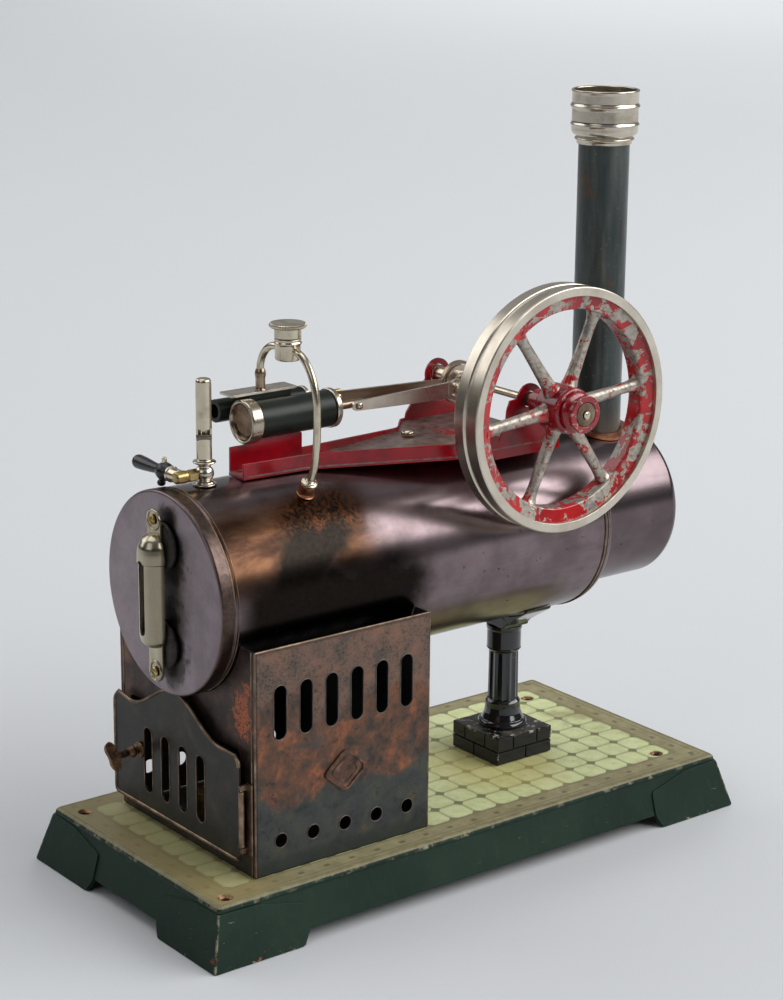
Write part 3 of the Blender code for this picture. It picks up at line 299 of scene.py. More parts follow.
def look_boiler():
    """Blued purple-bronze steel, sooty and copper-coloured where the fire heats it."""
    look = Look("blued_boiler_steel")
    up = look.z - BOILER_Z * MM
    # 0 at the top, towards -Y
    turn = (look.y * -1.0).calc("ARCTAN2", up)
    side = abs(turn)
    wander = look.noise(28, 5, 0.6, seed=13.0) - 0.5
    wx = look.x + wander * 0.035
    wt = side + wander * 0.9
    cloud = look.noise(45, 6, 0.6, seed=17.0)
    fine = look.noise(650, 5, 0.65, seed=19.0)
    drawn = look.noise(120, 5, 0.6, (0.25, 3, 3), seed=23.0)
    steel = look.mix(cloud.rise(0.35, 0.68), (0.25, 0.195, 0.205), (0.16, 0.12, 0.125))
    steel = look.mix(drawn.rise(0.45, 0.75) * 0.3, steel, (0.11, 0.085, 0.085))
    steel = look.mix(look.x.rise(0.079, 0.08) * 0.5, steel, (0.085, 0.066, 0.07))
    # copper and brown heat colours above the firebox
    hot = wx.rise(-0.022, -0.048) * wt.within(0.55, 1.34, 0.16)
    tone = look.noise(52, 6, 0.62, (0.45, 1, 1), seed=29.0, warp=0.3)
    brown = tone.ramp((0.36, (0.012, 0.008, 0.007)), (0.47, (0.04, 0.02, 0.013)),
                      (0.6, (0.115, 0.056, 0.031)), (0.74, (0.22, 0.13, 0.085)))
    colour = look.mix(hot, steel, brown)
    # soot: below the shoulder over the firebox, and one slanting band up the side
    low = wx.rise(-0.01, -0.026) * wt.rise(1.02, 1.42) * look.x.rise(-0.104, -0.09)
    lean = look.x + side * 0.03
    leaned = lean + wander * 0.04
    slant = leaned.within(-0.05, -0.016, 0.007) * wt.within(0.62, 1.6, 0.16)
    soot = most(low, slant * tone.rise(0.26, 0.42))
    colour = look.mix(soot, colour, look.mix(fine, (0.005, 0.0045, 0.004), (0.022, 0.017, 0.014)))
    rusted = wt.within(0.5, 0.82, 0.1) * leaned.within(-0.06, -0.012, 0.008) * fine.rise(0.4, 0.6)
    colour = look.mix(rusted * 0.6, colour, (0.17, 0.06, 0.022))
    specks = look.noise(420, 3, 0.6, seed=37.0).rise(0.68, 0.74)
    colour = look.mix(specks * 0.75, colour, (0.03, 0.02, 0.018))
    grime = wt.rise(0.42, 0.12) * cloud.rise(0.4, 0.6)
    colour = look.mix(grime * 0.5, colour, (0.09, 0.075, 0.06))
    rough = cloud.blend(0.2, 0.29)
    rough = soot.blend(rough, 0.27)
    look.bump(drawn, 0.05, 0.1)
    look.bump(fine, 0.04, 0.06)
    return look.done(colour, most(rough, specks * 0.5), 1.0)


def look_cap():
    """The purple-grey front cap with faint blotches and rubbed marks."""
    look = Look("blued_cap_steel")
    cloud = look.noise(42, 6, 0.6, seed=41.0)
    fine = look.noise(500, 6, 0.65, seed=43.0)
    colour = look.mix(cloud.rise(0.35, 0.68), (0.3, 0.25, 0.27), (0.21, 0.17, 0.185))
    colour = look.mix(fine.rise(0.45, 0.75) * 0.3, colour, (0.17, 0.13, 0.135))
    spots = look.noise(110, 3, 0.5, seed=49.0).rise(0.7, 0.74)
    colour = look.mix(spots * 0.6, colour, (0.05, 0.04, 0.045))
    up = look.z - BOILER_Z * MM
    reach = length(look.y, up)
    burnt = look.noise(75, 6, 0.64, seed=51.0)
    for middle, size in ((0.1375, 0.0125), (0.1007, 0.014)):
        by = look.y + 0.0035
        bz = (look.z - middle) * 0.75
        away = length(by, bz)
        away = away + (burnt - 0.5) * 0.022
        colour = look.mix(away.rise(size, size - 0.0045) * 0.85, colour, (0.03, 0.025, 0.023))
    edge = reach.rise(0.0366, 0.0376)
    low_edge = edge * up.rise(0.012, -0.01)
    band = reach.rise(0.037, 0.0374) * look.x.rise(-0.106, -0.1056)
    colour = look.mix(edge * 0.4, colour, (0.2, 0.12, 0.085))
    banded = fine.ramp((0.35, (0.045, 0.032, 0.027)), (0.6, (0.11, 0.075, 0.06)), (0.8, (0.2, 0.13, 0.1)))
    colour = look.mix(band * 0.9, colour, banded)
    colour = look.mix(low_edge * 0.5, colour, (0.05, 0.032, 0.025))
    look.bump(fine, 0.05, 0.08)
    look.bump(cloud, 0.05, 0.6)
    return look.done(colour, cloud.blend(0.26, 0.4), 1.0)


def look_patina():
    """The firebox sheet: copper brown above, blue grey below, mottled all over."""
    look = Look("heat_patina_sheet")
    broad = look.noise(38, 6, 0.62, seed=53.0, warp=0.5)
    mottle = look.noise(130, 6, 0.66, seed=59.0, warp=0.3)
    fine = look.noise(900, 5, 0.7, seed=61.0)
    wander = look.z + (broad - 0.5) * 0.075
    brown = mottle.ramp((0.3, (0.036, 0.032, 0.029)), (0.43, (0.088, 0.058, 0.044)),
                        (0.55, (0.17, 0.082, 0.05)), (0.68, (0.36, 0.125, 0.058)))
    blue = mottle.ramp((0.3, (0.034, 0.04, 0.04)), (0.5, (0.062, 0.068, 0.064)), (0.62, (0.08, 0.084, 0.06)),
                       (0.76, (0.2, 0.088, 0.045)))
    colour = look.mix(wander.rise(0.057, 0.044), brown, blue)
    pale = mottle.ramp((0.32, (0.13, 0.095, 0.078)), (0.6, (0.21, 0.135, 0.1)))
    colour = look.mix(wander.rise(0.074, 0.086) * fine.rise(0.35, 0.55), colour, pale)
    grey = look.noise(62, 5, 0.6, seed=67.0).rise(0.56, 0.64)
    colour = look.mix(grey * 0.65, colour, (0.075, 0.072, 0.07))
    foot = look.z.rise(0.029, 0.0255)
    colour = look.mix(foot * 0.6, colour, (0.035, 0.042, 0.042))
    head = look.z.rise(0.1052, 0.1062)
    colour = look.mix(head * 0.6, colour, (0.05, 0.04, 0.033))
    # the front panel is darker, with one bright scorched patch by the near corner
    front = look.x.rise(-0.096, -0.0966)
    sooty = mottle.ramp((0.35, (0.012, 0.012, 0.013)), (0.6, (0.06, 0.04, 0.032)),
                        (0.8, (0.22, 0.085, 0.045)))
    far_brown = look.y.rise(0.034, 0.04) * broad.rise(0.35, 0.55)
    sooty = look.mix(far_brown, sooty, (0.2, 0.095, 0.06))
    colour = look.mix(front * 0.85, colour, sooty)
    dy = (look.y + 0.0372) * 0.8
    dz = (look.z - 0.083) * 0.45
    away = length(dy, dz)
    away = away + (mottle - 0.5) * 0.016
    scorch = front * away.rise(0.0058, 0.0036) * fine.rise(0.42, 0.5)
    colour = look.mix(scorch, colour, look.mix(mottle, (0.3, 0.06, 0.02), (0.55, 0.17, 0.07)))
    colour = look.mix(fine.rise(0.55, 0.8) * 0.35, colour, (0.03, 0.028, 0.026))
    pits = look.noise(330, 6, 0.72, seed=63.0).rise(0.58, 0.68)
    colour = look.mix(pits * 0.6, colour, (0.022, 0.02, 0.019))
    scuffs = look.noise(260, 5, 0.7, (0.25, 1, 2.4), seed=65.0).rise(0.64, 0.72)
    colour = look.mix(scuffs * 0.4, colour, (0.26, 0.17, 0.13))
    # the inside is sooted black
    ay = abs(look.y)
    inside = ay.rise(0.044, 0.04385) * look.x.rise(-0.09705, -0.09685) * look.x.rise(-0.0192, -0.0195)
    colour = look.mix(inside, colour, (0.012, 0.011, 0.01))
    look.bump(mottle, 0.05, 0.2)
    look.bump(fine, 0.08, 0.08)
    return look.done(colour, most(mottle.blend(0.32, 0.52), inside), inside.blend(0.62, 0.0))


def look_dark_bronze():
    look = Look("dark_bronze_sheet")
    mottle = look.noise(70, 6, 0.62, seed=71.0, warp=0.4)
    fine = look.noise(800, 5, 0.7, seed=73.0)
    colour = mottle.ramp((0.3, (0.02, 0.02, 0.018)), (0.55, (0.04, 0.039, 0.033)),
                         (0.75, (0.085, 0.064, 0.048)))
    colour = look.mix(fine.rise(0.55, 0.8) * 0.4, colour, (0.16, 0.12, 0.09))
    look.bump(fine, 0.1, 0.1)
    look.bump(mottle, 0.06, 0.4)
    return look.done(colour, mottle.blend(0.26, 0.42), 0.75)


def look_brown_steel():
    look = Look("oiled_brown_steel")
    drawn = look.noise(160, 5, 0.6, (0.12, 1, 1), seed=89.0)
    fine = look.noise(900, 4, 0.6, seed=91.0)
    colour = drawn.ramp((0.32, (0.17, 0.12, 0.085)), (0.6, (0.36, 0.27, 0.19)), (0.8, (0.55, 0.45, 0.34)))
    look.bump(fine, 0.1, 0.1)
    return look.done(colour, drawn.blend(0.2, 0.36), 1.0)


def look_chimney():
    """Dull blue-grey-green sheet with drawn streaks, rust blooms and pale specks."""
    look = Look("chimney_blue_steel")
    drawn = look.noise(150, 6, 0.65, (1, 1, 0.12), seed=97.0)
    bloom = look.noise(85, 6, 0.65, seed=101.0)
    fine = look.noise(700, 5, 0.65, seed=103.0)
    colour = drawn.ramp((0.3, (0.036, 0.046, 0.046)), (0.52, (0.078, 0.092, 0.088)),
                        (0.75, (0.14, 0.148, 0.13)))
    colour = look.mix(bloom.rise(0.56, 0.68) * 0.6, colour, (0.13, 0.075, 0.045))
    colour = look.mix(fine.rise(0.62, 0.72) * 0.5, colour, (0.3, 0.28, 0.24))
    top = look.z.rise(0.262, 0.272)
    colour = look.mix(top * 0.6, colour, (0.04, 0.035, 0.03))
    foot = look.z.rise(0.166, 0.15)
    colour = look.mix(foot * 0.5, colour, (0.16, 0.1, 0.07))
    look.bump(drawn, 0.1, 0.2)
    look.bump(fine, 0.1, 0.1)
    return look.done(colour, bloom.blend(0.24, 0.42), 0.8)


def look_black_enamel():
    look = Look("gloss_black_enamel")
    cloud = look.noise(90, 4, 0.55, seed=107.0)
    chips = look.noise(520, 5, 0.65, seed=109.0).rise(0.69, 0.71)
    colour = look.mix(cloud, (0.004, 0.004, 0.005), (0.012, 0.013, 0.015))
    colour = look.mix(chips, colour, (0.3, 0.28, 0.25))
    look.bump(1.0 - chips, 0.3, 0.1)
    look.bump(cloud, 0.08, 0.4)
    return look.done(colour, chips.blend(0.13, 0.5), 0.0, Coat_Weight=0.5, Coat_Roughness=0.08)


def look_plinth():
    """Black enamel rubbed pale along the block edges and dusty on the ledge."""
    look = Look("chipped_plinth_enamel")
    cloud = look.noise(90, 4, 0.55, seed=113.0)
    chip = look.noise(330, 6, 0.68, seed=127.0)
    ax = abs(look.x - COLUMN[0] * MM)
    ay = abs(look.y)
    rims = most(look.z.within(0.0324, 0.034, 0.0003), ax.rise(0.0132, 0.0141) * ay.rise(0.0132, 0.0141))
    ledge = look.z.rise(0.0328, 0.0331) * look.noise(70, 5, seed=131.0).rise(0.4, 0.62)
    chips = most(rims * chip.rise(0.56, 0.6), chip.rise(0.74, 0.76))
    colour = look.mix(cloud, (0.004, 0.004, 0.005), (0.014, 0.014, 0.015))
    colour = look.mix(ledge * 0.4, colour, (0.16, 0.15, 0.12))
    colour = look.mix(chips, colour, (0.42, 0.39, 0.33))
    look.bump(1.0 - chips, 0.35, 0.12)
    rough = ledge.blend(0.16, 0.5)
    return look.done(colour, most(rough, chips * 0.6), 0.0, Specular_IOR_Level=0.3)


def look_cylinder_enamel():
    look = Look("green_black_enamel")
    drawn = look.noise(130, 5, 0.6, (0.2, 1, 1), seed=137.0)
    specks = look.noise(700, 4, 0.65, seed=139.0).rise(0.69, 0.72)
    colour = drawn.ramp((0.35, (0.005, 0.007, 0.005)), (0.7, (0.02, 0.026, 0.017)))
    colour = look.mix(specks, colour, (0.22, 0.22, 0.18))
    look.bump(drawn, 0.04, 0.1)
    return look.done(colour, drawn.blend(0.28, 0.42), 0.0, Specular_IOR_Level=0.27)


def look_green_enamel():
    """The base's dark green enamel, chipped pale along its edges, with bare rusty spots."""
    look = Look("base_green_enamel")
    cloud = look.noise(26, 5, 0.6, seed=149.0)
    weave = look.noise(420, 4, 0.6, (1, 1, 0.3), seed=151.0)
    chip = look.noise(260, 7, 0.7, seed=157.0)
    long_chip = look.noise(90, 6, 0.65, seed=163.0)
    green = look.mix(cloud.rise(0.35, 0.7), (0.004, 0.018, 0.01), (0.009, 0.03, 0.017))
    green = look.mix(weave.rise(0.5, 0.8) * 0.25, green, (0.03, 0.06, 0.036))
    ax = abs(look.x)
    ay = abs(look.y)
    rim = look.z.rise(0.0192, 0.0204)
    flare = (0.0199 - look.z) * 0.276
    corner = (ax - flare).rise(0.1206, 0.1214) * (ay - flare).rise(0.0555, 0.0563)
    floor = look.z.rise(0.0018, 0.0002)
    rubbed = most(rim * long_chip.rise(0.44, 0.62) * chip.rise(0.46, 0.56), corner * chip.rise(0.46, 0.54),
                  floor * chip.rise(0.58, 0.64))
    pale = chip.ramp((0.42, (0.085, 0.088, 0.055)), (0.68, (0.33, 0.31, 0.21)))
    scratches = most(look.noise(330, 4, 0.7, (0.3, 0.3, 1.6), seed=167.0).rise(0.69, 0.72),
                     look.noise(900, 4, 0.7, (0.35, 0.35, 1), seed=169.0).rise(0.7, 0.74))
    colour = look.mix(rubbed, green, pale)
    colour = look.mix(scratches * 0.7, colour, (0.2, 0.23, 0.15))
    printed = chip.ramp((0.3, (0.15, 0.135, 0.07)), (0.7, (0.29, 0.26, 0.145)))
    colour = look.mix(look.z.rise(0.02085, 0.02115), colour, printed)
    rust = look.noise(70, 5, 0.6, seed=173.0).rise(0.66, 0.69) * look.z.rise(0.006, 0.001)
    colour = look.mix(rust, colour, (0.5, 0.1, 0.03))
    look.bump(1.0 - most(rubbed, scratches), 0.3, 0.15)
    look.bump(weave, 0.12, 0.15)
    return look.done(colour, cloud.blend(0.42, 0.56), 0.0, Specular_IOR_Level=0.25)


def look_tiles():
    """The printed base top: pale octagon tiles, small dark squares, and a lined border with dots."""
    look = Look("printed_tile_top")
    pitch_x, pitch_y = (0.01151, 0.0114)
    left, right, low, high = (-0.11, 0.1087, -0.0447, 0.0465)

    def cell(value, start, pitch):
        return abs(((value - start) / pitch).calc("FRACT") - 0.5)
    jitter = (look.noise(300, 3, seed=179.0) - 0.5) * 0.0006
    px = look.x + jitter
    py = look.y + jitter
    u = cell(px, left, pitch_x)
    v = cell(py, low, pitch_y)
    line = most(u, v).rise(0.462, 0.484)
    square = (u + v).rise(0.775, 0.8)
    stain = look.noise(24, 6, 0.62, seed=181.0)
    mottle = look.noise(210, 5, 0.62, seed=191.0)
    tile = mottle.ramp((0.3, (0.58, 0.63, 0.29)), (0.55, (0.7, 0.75, 0.4)), (0.8, (0.78, 0.81, 0.49)))
    hollow = most(u, v).rise(0.34, 0.46)
    tile = look.mix(hollow * 0.22, tile, (0.32, 0.35, 0.15))
    field = look.mix(line * 0.75, tile, (0.25, 0.26, 0.11))
    field = look.mix(square * 0.85, field, (0.17, 0.17, 0.075))
    inside = look.x.within(left, right, 0.0002) * look.y.within(low, high, 0.0002)
    band = mottle.ramp((0.3, (0.24, 0.21, 0.105)), (0.7, (0.37, 0.33, 0.18)))
    ax = abs(look.x - -0.0006)
    ay = abs(look.y - 0.0009)
    dot_x = u.rise(0.13, 0.09) * ay.within(0.0494, 0.0512, 0.0003)
    dot_y = v.rise(0.13, 0.09) * ax.within(0.1134, 0.1152, 0.0003)
    rules = most(ax.within(0.1101, 0.1105, 0.00015) * ay.rise(0.0464, 0.046),
                 ay.within(0.046, 0.0464, 0.00015) * ax.rise(0.1105, 0.1101),
                 ax.within(0.1172, 0.1176, 0.00015) * ay.rise(0.0534, 0.053),
                 ay.within(0.0529, 0.0533, 0.00015) * ax.rise(0.1176, 0.1172))
    band = look.mix(most(dot_x, dot_y) * 0.7, band, (0.1, 0.085, 0.04))
    band = look.mix(rules * 0.75, band, (0.09, 0.08, 0.04))
    colour = look.mix(inside, band, field)
    # stains: brown by the firebox and towards the near left, ochre by the column
    by_box = (look.x + stain * 0.03).rise(-0.064, -0.084)
    brown = most(stain.rise(0.56, 0.72), by_box * stain.rise(0.22, 0.46))
    colour = look.mix(brown * 0.68, colour, (0.24, 0.19, 0.075))
    fx = look.x - 0.04
    fy = (look.y + 0.01) * 0.8
    near = length(fx, fy)
    ochre = (near + stain * 0.03).rise(0.047, 0.028)
    colour = look.mix(ochre * 0.5, colour, (0.58, 0.48, 0.14))
    crumbs = look.noise(520, 5, 0.68, seed=193.0).rise(0.66, 0.7)
    colour = look.mix(crumbs * 0.6, colour, (0.13, 0.1, 0.05))
    edge = most(ax.rise(0.1186, 0.1198), ay.rise(0.0535, 0.0547))
    rubbed = edge * look.noise(120, 6, 0.66, seed=197.0).rise(0.42, 0.52)
    colour = look.mix(rubbed * 0.6, colour, (0.2, 0.18, 0.095))
    fire = look.x.within(-0.0974, -0.019, 0.0003) * abs(look.y).rise(0.0443, 0.044)
    colour = look.mix(fire, colour, (0.01, 0.009, 0.008))
    look.bump(1.0 - most(line, square), 0.06, 0.1)
    look.bump(mottle, 0.08, 0.15)
    return look.done(colour, mottle.blend(0.38, 0.55), 0.0, Coat_Weight=0.12, Coat_Roughness=0.3)


def look_handle():
    look = Look("black_turned_handle")
    mottle = look.noise(240, 5, 0.6, seed=227.0)
    colour = look.mix(mottle, (0.006, 0.006, 0.007), (0.022, 0.023, 0.026))
    look.bump(mottle, 0.1, 0.2)
    return look.done(colour, mottle.blend(0.2, 0.36), 0.0)


def look_glass():
    look = Look("gauge_tube_glass")
    haze = look.noise(200, 4, 0.6, seed=229.0)
    colour = look.mix(haze, (0.8, 0.84, 0.84), (0.62, 0.66, 0.64))
    return look.done(colour, haze.blend(0.04, 0.16), 0.0, Transmission_Weight=0.9, IOR=1.48)


NICKEL = look_nickel()
GAUGE_NICKEL = look_gauge_nickel()
PALE_NICKEL = look_nickel("pale_nickel", (0.6, 0.55, 0.46), (0.34, 0.28, 0.19))
TURNED = look_turned_steel()
WORN_RED = look_worn_red()
BED = look_bed_floor()
WEB = look_wheel_web()
BOILER = look_boiler()
CAP = look_cap()
PATINA = look_patina()
BRONZE = look_dark_bronze()
EDGE = look_mottled("rubbed_bronze_edge", (160, 6, 0.62, 79.0),
                    ((0.3, (0.06, 0.05, 0.04)), (0.5, (0.19, 0.13, 0.09)), (0.72, (0.4, 0.29, 0.2))),
                    (0.15, 0.2), (0.28, 0.45), 0.9)
RUSTY = look_mottled("rusty_brass", (300, 6, 0.65, 83.0),
                     ((0.34, (0.045, 0.03, 0.022)), (0.5, (0.17, 0.095, 0.055)), (0.7, (0.42, 0.25, 0.12))),
                     (0.3, 0.25), (0.32, 0.6), 0.85)
BROWN = look_brown_steel()
FLUE = look_chimney()
BLACK = look_black_enamel()
PLINTH = look_plinth()
DARK = look_cylinder_enamel()
GREEN = look_green_enamel()
TILES = look_tiles()
COPPER = look_mottled("dull_copper", (260, 6, 0.62, 199.0),
                      ((0.3, (0.16, 0.065, 0.035)), (0.55, (0.42, 0.17, 0.09)), (0.8, (0.66, 0.32, 0.18))),
                      (0.2, 0.15), (0.28, 0.45), 0.95)
BRASS = look_mottled("tarnished_brass", (280, 6, 0.62, 211.0),
                     ((0.3, (0.2, 0.14, 0.06)), (0.55, (0.48, 0.36, 0.15)), (0.8, (0.62, 0.5, 0.25))),
                     (0.15, 0.15), (0.25, 0.42), 1.0)
BOSS = look_mottled("blackened_boss", (330, 6, 0.65, 223.0),
                    ((0.3, (0.008, 0.007, 0.006)), (0.6, (0.035, 0.028, 0.022)), (0.8, (0.15, 0.1, 0.07))),
                    (0.5, 0.3), (0.3, 0.6), 0.5)
RIM = look_mottled("rubbed_grey_rim", (240, 5, 0.6, 239.0),
                   ((0.35, (0.075, 0.072, 0.068)), (0.7, (0.2, 0.17, 0.145))), (0.15, 0.15), (0.35, 0.5), 0.7)
EMBLEM = look_mottled("rubbed_emblem_copper", (220, 6, 0.62, 241.0),
                      ((0.35, (0.06, 0.042, 0.034)), (0.55, (0.16, 0.088, 0.06)), (0.8, (0.36, 0.21, 0.145))),
                      (0.3, 0.3), (0.28, 0.44), 0.8)
HANDLE = look_handle()
GLASS = look_glass()


# ---------------------------------------------------------------- mesh helpers

AXES = {"X": Matrix.Rotation(math.pi / 2, 4, "Y"), "Y": Matrix.Rotation(-math.pi / 2, 4, "X"),
        "Z": Matrix.Identity(4)}


def piece(name, mesh, material, body, nodes=(), sharp=35.0):
    """An object for a mesh in place, with its material, body and the CAD nodes it stands for."""
    mesh.shade_smooth()
    mesh.set_sharp_from_angle(angle=math.radians(sharp))
    draft = loose(mesh)
    draft.modifiers.new("weigh", "WEIGHTED_NORMAL").keep_sharp = True
    item = loose(modified_mesh(draft), name)
    item.data.name = name
    show(item, material)
    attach(item, body)
    if nodes:
        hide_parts(*nodes)


def show(item, material):
    item.data.materials.clear()
    item.data.materials.append(material)


def soften(points, radius, closed=False, steps=3):
    """A line of 2D points with its corners rounded off."""
    count = len(points)
    line = []
    for index, point in enumerate(points):
        if not closed and index in (0, count - 1):
            line.append(tuple(point))
            continue
        here = Vector(point)
        back = Vector(points[index - 1]) - here
        ahead = Vector(points[(index + 1) % count]) - here
        reach = min(radius, back.length * 0.45, ahead.length * 0.45)
        if reach < 0.0001 or back.length < 1e-06 or ahead.length < 1e-06:
            line.append(tuple(point))
            continue
        start, stop = (here + back.normalized() * reach, here + ahead.normalized() * reach)
        for step in range(steps + 1):
            part = step / steps
            line.append(tuple((1 - part) ** 2 * start + 2 * part * (1 - part) * here + part ** 2 * stop))
    return line


def finished(shape, outward=True):
    """The mesh of a bmesh, which is freed, with its faces turned outwards if asked."""
    if outward:
        bmesh.ops.recalc_face_normals(shape, faces=shape.faces)
    mesh = bpy.data.meshes.new("part")
    shape.to_mesh(mesh)
    shape.free()
    return mesh


def quad_strip(shape, first, second):
    """Faces between two closed loops of the same number of vertices."""
    for index in range(len(first)):
        following = (index + 1) % len(first)
        shape.faces.new((first[index], first[following], second[following], second[index]))


def lathe_mesh(profile, axis, across, closed=False, sides=64, shape=None):
    """A turned mesh from (radius, place along the axis) points; shape may change a radius by its turn."""
    first, second = across
    origin = {"X": (0.0, first, second), "Y": (first, 0.0, second), "Z": (first, second, 0.0)}[axis]
    body = bmesh.new()
    turns = [math.radians(360.0 * index / sides) for index in range(sides)]
    rings = []
    for radius, height in profile:
        if radius < 1e-06:
            rings.append([body.verts.new((0, 0, height * MM))])
            continue
        ring = []
        for turn in turns:
            reach = shape(radius, height, turn) if shape else radius
            ring.append(body.verts.new((reach * math.cos(turn) * MM, reach * math.sin(turn) * MM,
                                        height * MM)))
        rings.append(ring)
    for upper, lower in list(zip(rings, rings[1:])) + ([(rings[-1], rings[0])] if closed else []):
        for index in range(sides):
            following = (index + 1) % sides
            corners = [upper[index % len(upper)], lower[index % len(lower)], lower[following % len(lower)],
                       upper[following % len(upper)]]
            unique = list(dict.fromkeys(corners))
            if len(unique) > 2:
                body.faces.new(unique)
    bmesh.ops.recalc_face_normals(body, faces=body.faces)
    bmesh.ops.transform(body, matrix=Matrix.Translation(Vector(origin) * MM) @ AXES[axis], verts=body.verts)
    return finished(body, False)


def lathe(name, profile, axis, across, material, nodes=(), body=ROOT, closed=False, sides=64, soft=0.3):
    """A turned piece with softened profile corners."""
    mesh = lathe_mesh(soften(profile, soft, closed), axis, across, closed, sides)
    return piece(name, mesh, material, body, nodes)


def tube_profile(bore, radius, low, high):
    return [(bore, high), (radius, high), (radius, low), (bore, low)]


def bar_profile(radius, low, high):
    return [(0, high), (radius, high), (radius, low), (0, low)]


def loose(data, name="loose"):
    """An object in the scene for a mesh, curve, light or camera."""
    item = bpy.data.objects.new(name, data)
    bpy.context.scene.collection.objects.link(item)
    return item


def modified_mesh(item):
    """The mesh of an object with its modifiers applied; the object is removed."""
    bpy.context.view_layer.update()
    evaluated = item.evaluated_get(bpy.context.evaluated_depsgraph_get())
    mesh = bpy.data.meshes.new_from_object(evaluated)
    mesh.transform(item.matrix_world)
    bpy.data.objects.remove(item)
    return mesh


def bevelled(mesh, width, segments=2, angle=30.0):
    """A mesh with its edges sharper than the angle rounded off; no width leaves it as it is."""
    if not width:
        return mesh
    item = loose(mesh)
    bevel = item.modifiers.new("bevel", "BEVEL")
    bevel.width = width * MM
    bevel.segments = segments
    bevel.limit_method = "ANGLE"
    bevel.angle_limit = math.radians(angle)
    bevel.use_clamp_overlap = True
    return modified_mesh(item)


def weld(mesh):
    """A mesh with its doubled vertices merged and its faces turned outwards."""
    shape = bmesh.new()
    shape.from_mesh(mesh)
    bmesh.ops.remove_doubles(shape, verts=shape.verts, dist=2e-06)
    bmesh.ops.recalc_face_normals(shape, faces=shape.faces)
    shape.to_mesh(mesh)
    shape.free()
    return mesh


PLANES = {"XY": Matrix.Identity(4), "XZ": Matrix.Rotation(math.pi / 2, 4, "X"),
          "YZ": Matrix(((0, 0, 1, 0), (1, 0, 0, 0), (0, 1, 0, 0), (0, 0, 0, 1)))}
NORMALS = {"XY": Vector((0, 0, 1)), "XZ": Vector((0, 1, 0)), "YZ": Vector((1, 0, 0))}


def poly_curve(points, **settings):
    """A new curve with these settings, and a cyclic polyline for each list of 3D points."""
    curve = bpy.data.curves.new("line", "CURVE")
    for key, value in settings.items():
        setattr(curve, key, value)
    for line in points:
        spline = curve.splines.new("POLY")
        spline.points.add(len(line) - 1)
        for point, place in zip(spline.points, line):
            point.co = (*(value * MM for value in place), 1.0)
        spline.use_cyclic_u = True
    return curve


def flat_mesh(outlines, plane, low, high, bevel=0.15, matrix=Matrix.Identity(4)):
    """A flat plate between two levels, from outlines where inner outlines are holes."""
    flat = loose(poly_curve([[(*point, 0.0) for point in outline] for outline in outlines], dimensions="2D",
                            fill_mode="BOTH", extrude=(high - low) / 2 * MM))
    flat.matrix_world = matrix @ Matrix.Translation(NORMALS[plane] * ((low + high) / 2 * MM)) @ PLANES[plane]
    return bevelled(weld(modified_mesh(flat)), bevel)


def joined(meshes):
    """Several meshes as one."""
    shape = bmesh.new()
    for mesh in meshes:
        shape.from_mesh(mesh)
    return finished(shape, False)


def block_mesh(low, high, bevel=0.3):
    shape = bmesh.new()
    bmesh.ops.create_cube(shape, size=1.0)
    for vertex in shape.verts:
        vertex.co = Vector([(a + b) / 2 + c * (b - a) for a, b, c in zip(low, high, vertex.co)]) * MM
    return bevelled(finished(shape, False), bevel)


def wire_mesh(points, radius, closed=False, sides=4):
    """A round bar along a line of points."""
    curve = poly_curve([points], dimensions="3D", bevel_depth=radius * MM, bevel_resolution=sides,
                       use_fill_caps=True)
    curve.splines[0].use_cyclic_u = closed
    return weld(modified_mesh(loose(curve)))


def smooth_line(knots, steps):
    """Points on a smooth curve through the knots."""
    padded = [knots[0]] + list(knots) + [knots[-1]]
    line = []
    for index in range(1, len(padded) - 2):
        before, start, stop, after = (Vector(padded[index + shift]) for shift in (-1, 0, 1, 2))
        for step in range(steps):
            part = step / steps
            line.append(0.5
                        * (2 * start + (stop - before) * part
                           + (2 * before - 5 * start + 4 * stop - after) * part ** 2
                           + (3 * start - before - 3 * stop + after) * part ** 3))
    line.append(Vector(knots[-1]))
    return line


def arc(centre, radius, start, stop, steps):
    turns = [math.radians(start + (stop - start) * step / steps) for step in range(steps + 1)]
    return [(centre[0] + radius * math.cos(turn), centre[1] + radius * math.sin(turn)) for turn in turns]


def circle(centre, radius, steps=32):
    return arc(centre, radius, 0.0, 360.0, steps)[:-1]


def slot_outline(middle, low, high, width=5.7):
    radius = width / 2
    return arc((middle, high - radius), radius, 0, 180, 12) + arc((middle, low + radius), radius, 180, 360,
                                                                  12)


def cut_mesh(mesh, tools):
    """A mesh with the tool meshes taken away."""
    item = loose(mesh)
    cutters = [loose(tool) for tool in tools]
    for cutter in cutters:
        change = item.modifiers.new("cut", "BOOLEAN")
        change.object = cutter
        change.operation = "DIFFERENCE"
        change.solver = "EXACT"
    result = modified_mesh(item)
    for cutter in cutters:
        bpy.data.objects.remove(cutter)
    return result


# ---------------------------------------------------------------- base

def rounded_rectangle(half_x, half_y, radius, z):
    corners = [(half_x, half_y, 0), (-half_x, half_y, 90), (-half_x, -half_y, 180), (half_x, -half_y, 270)]
    points = []
    for x, y, start in corners:
        centre = (x - math.copysign(radius, x), y - math.copysign(radius, y))
        points += [(px, py, z) for px, py in arc(centre, radius, start, start + 90, 5)]
    return points


def loft_mesh(rings):
    """A closed surface through rings of points; the last ring is joined to the first."""
    shape = bmesh.new()
    loops = [[shape.verts.new(Vector(point) * MM) for point in ring] for ring in rings]
    for first, second in zip(loops, loops[1:] + loops[:1]):
        quad_strip(shape, first, second)
    return finished(shape)


SKIRT_LEAN = 0.2765
HOLES = ((-114.4, -50.0), (-114.4, 45.0), (102.6, 38.5), (102.6, -41.5))


def skirt_x(z):
    return 127.08 - SKIRT_LEAN * z


def skirt_y(z):
    return 61.98 - SKIRT_LEAN * z


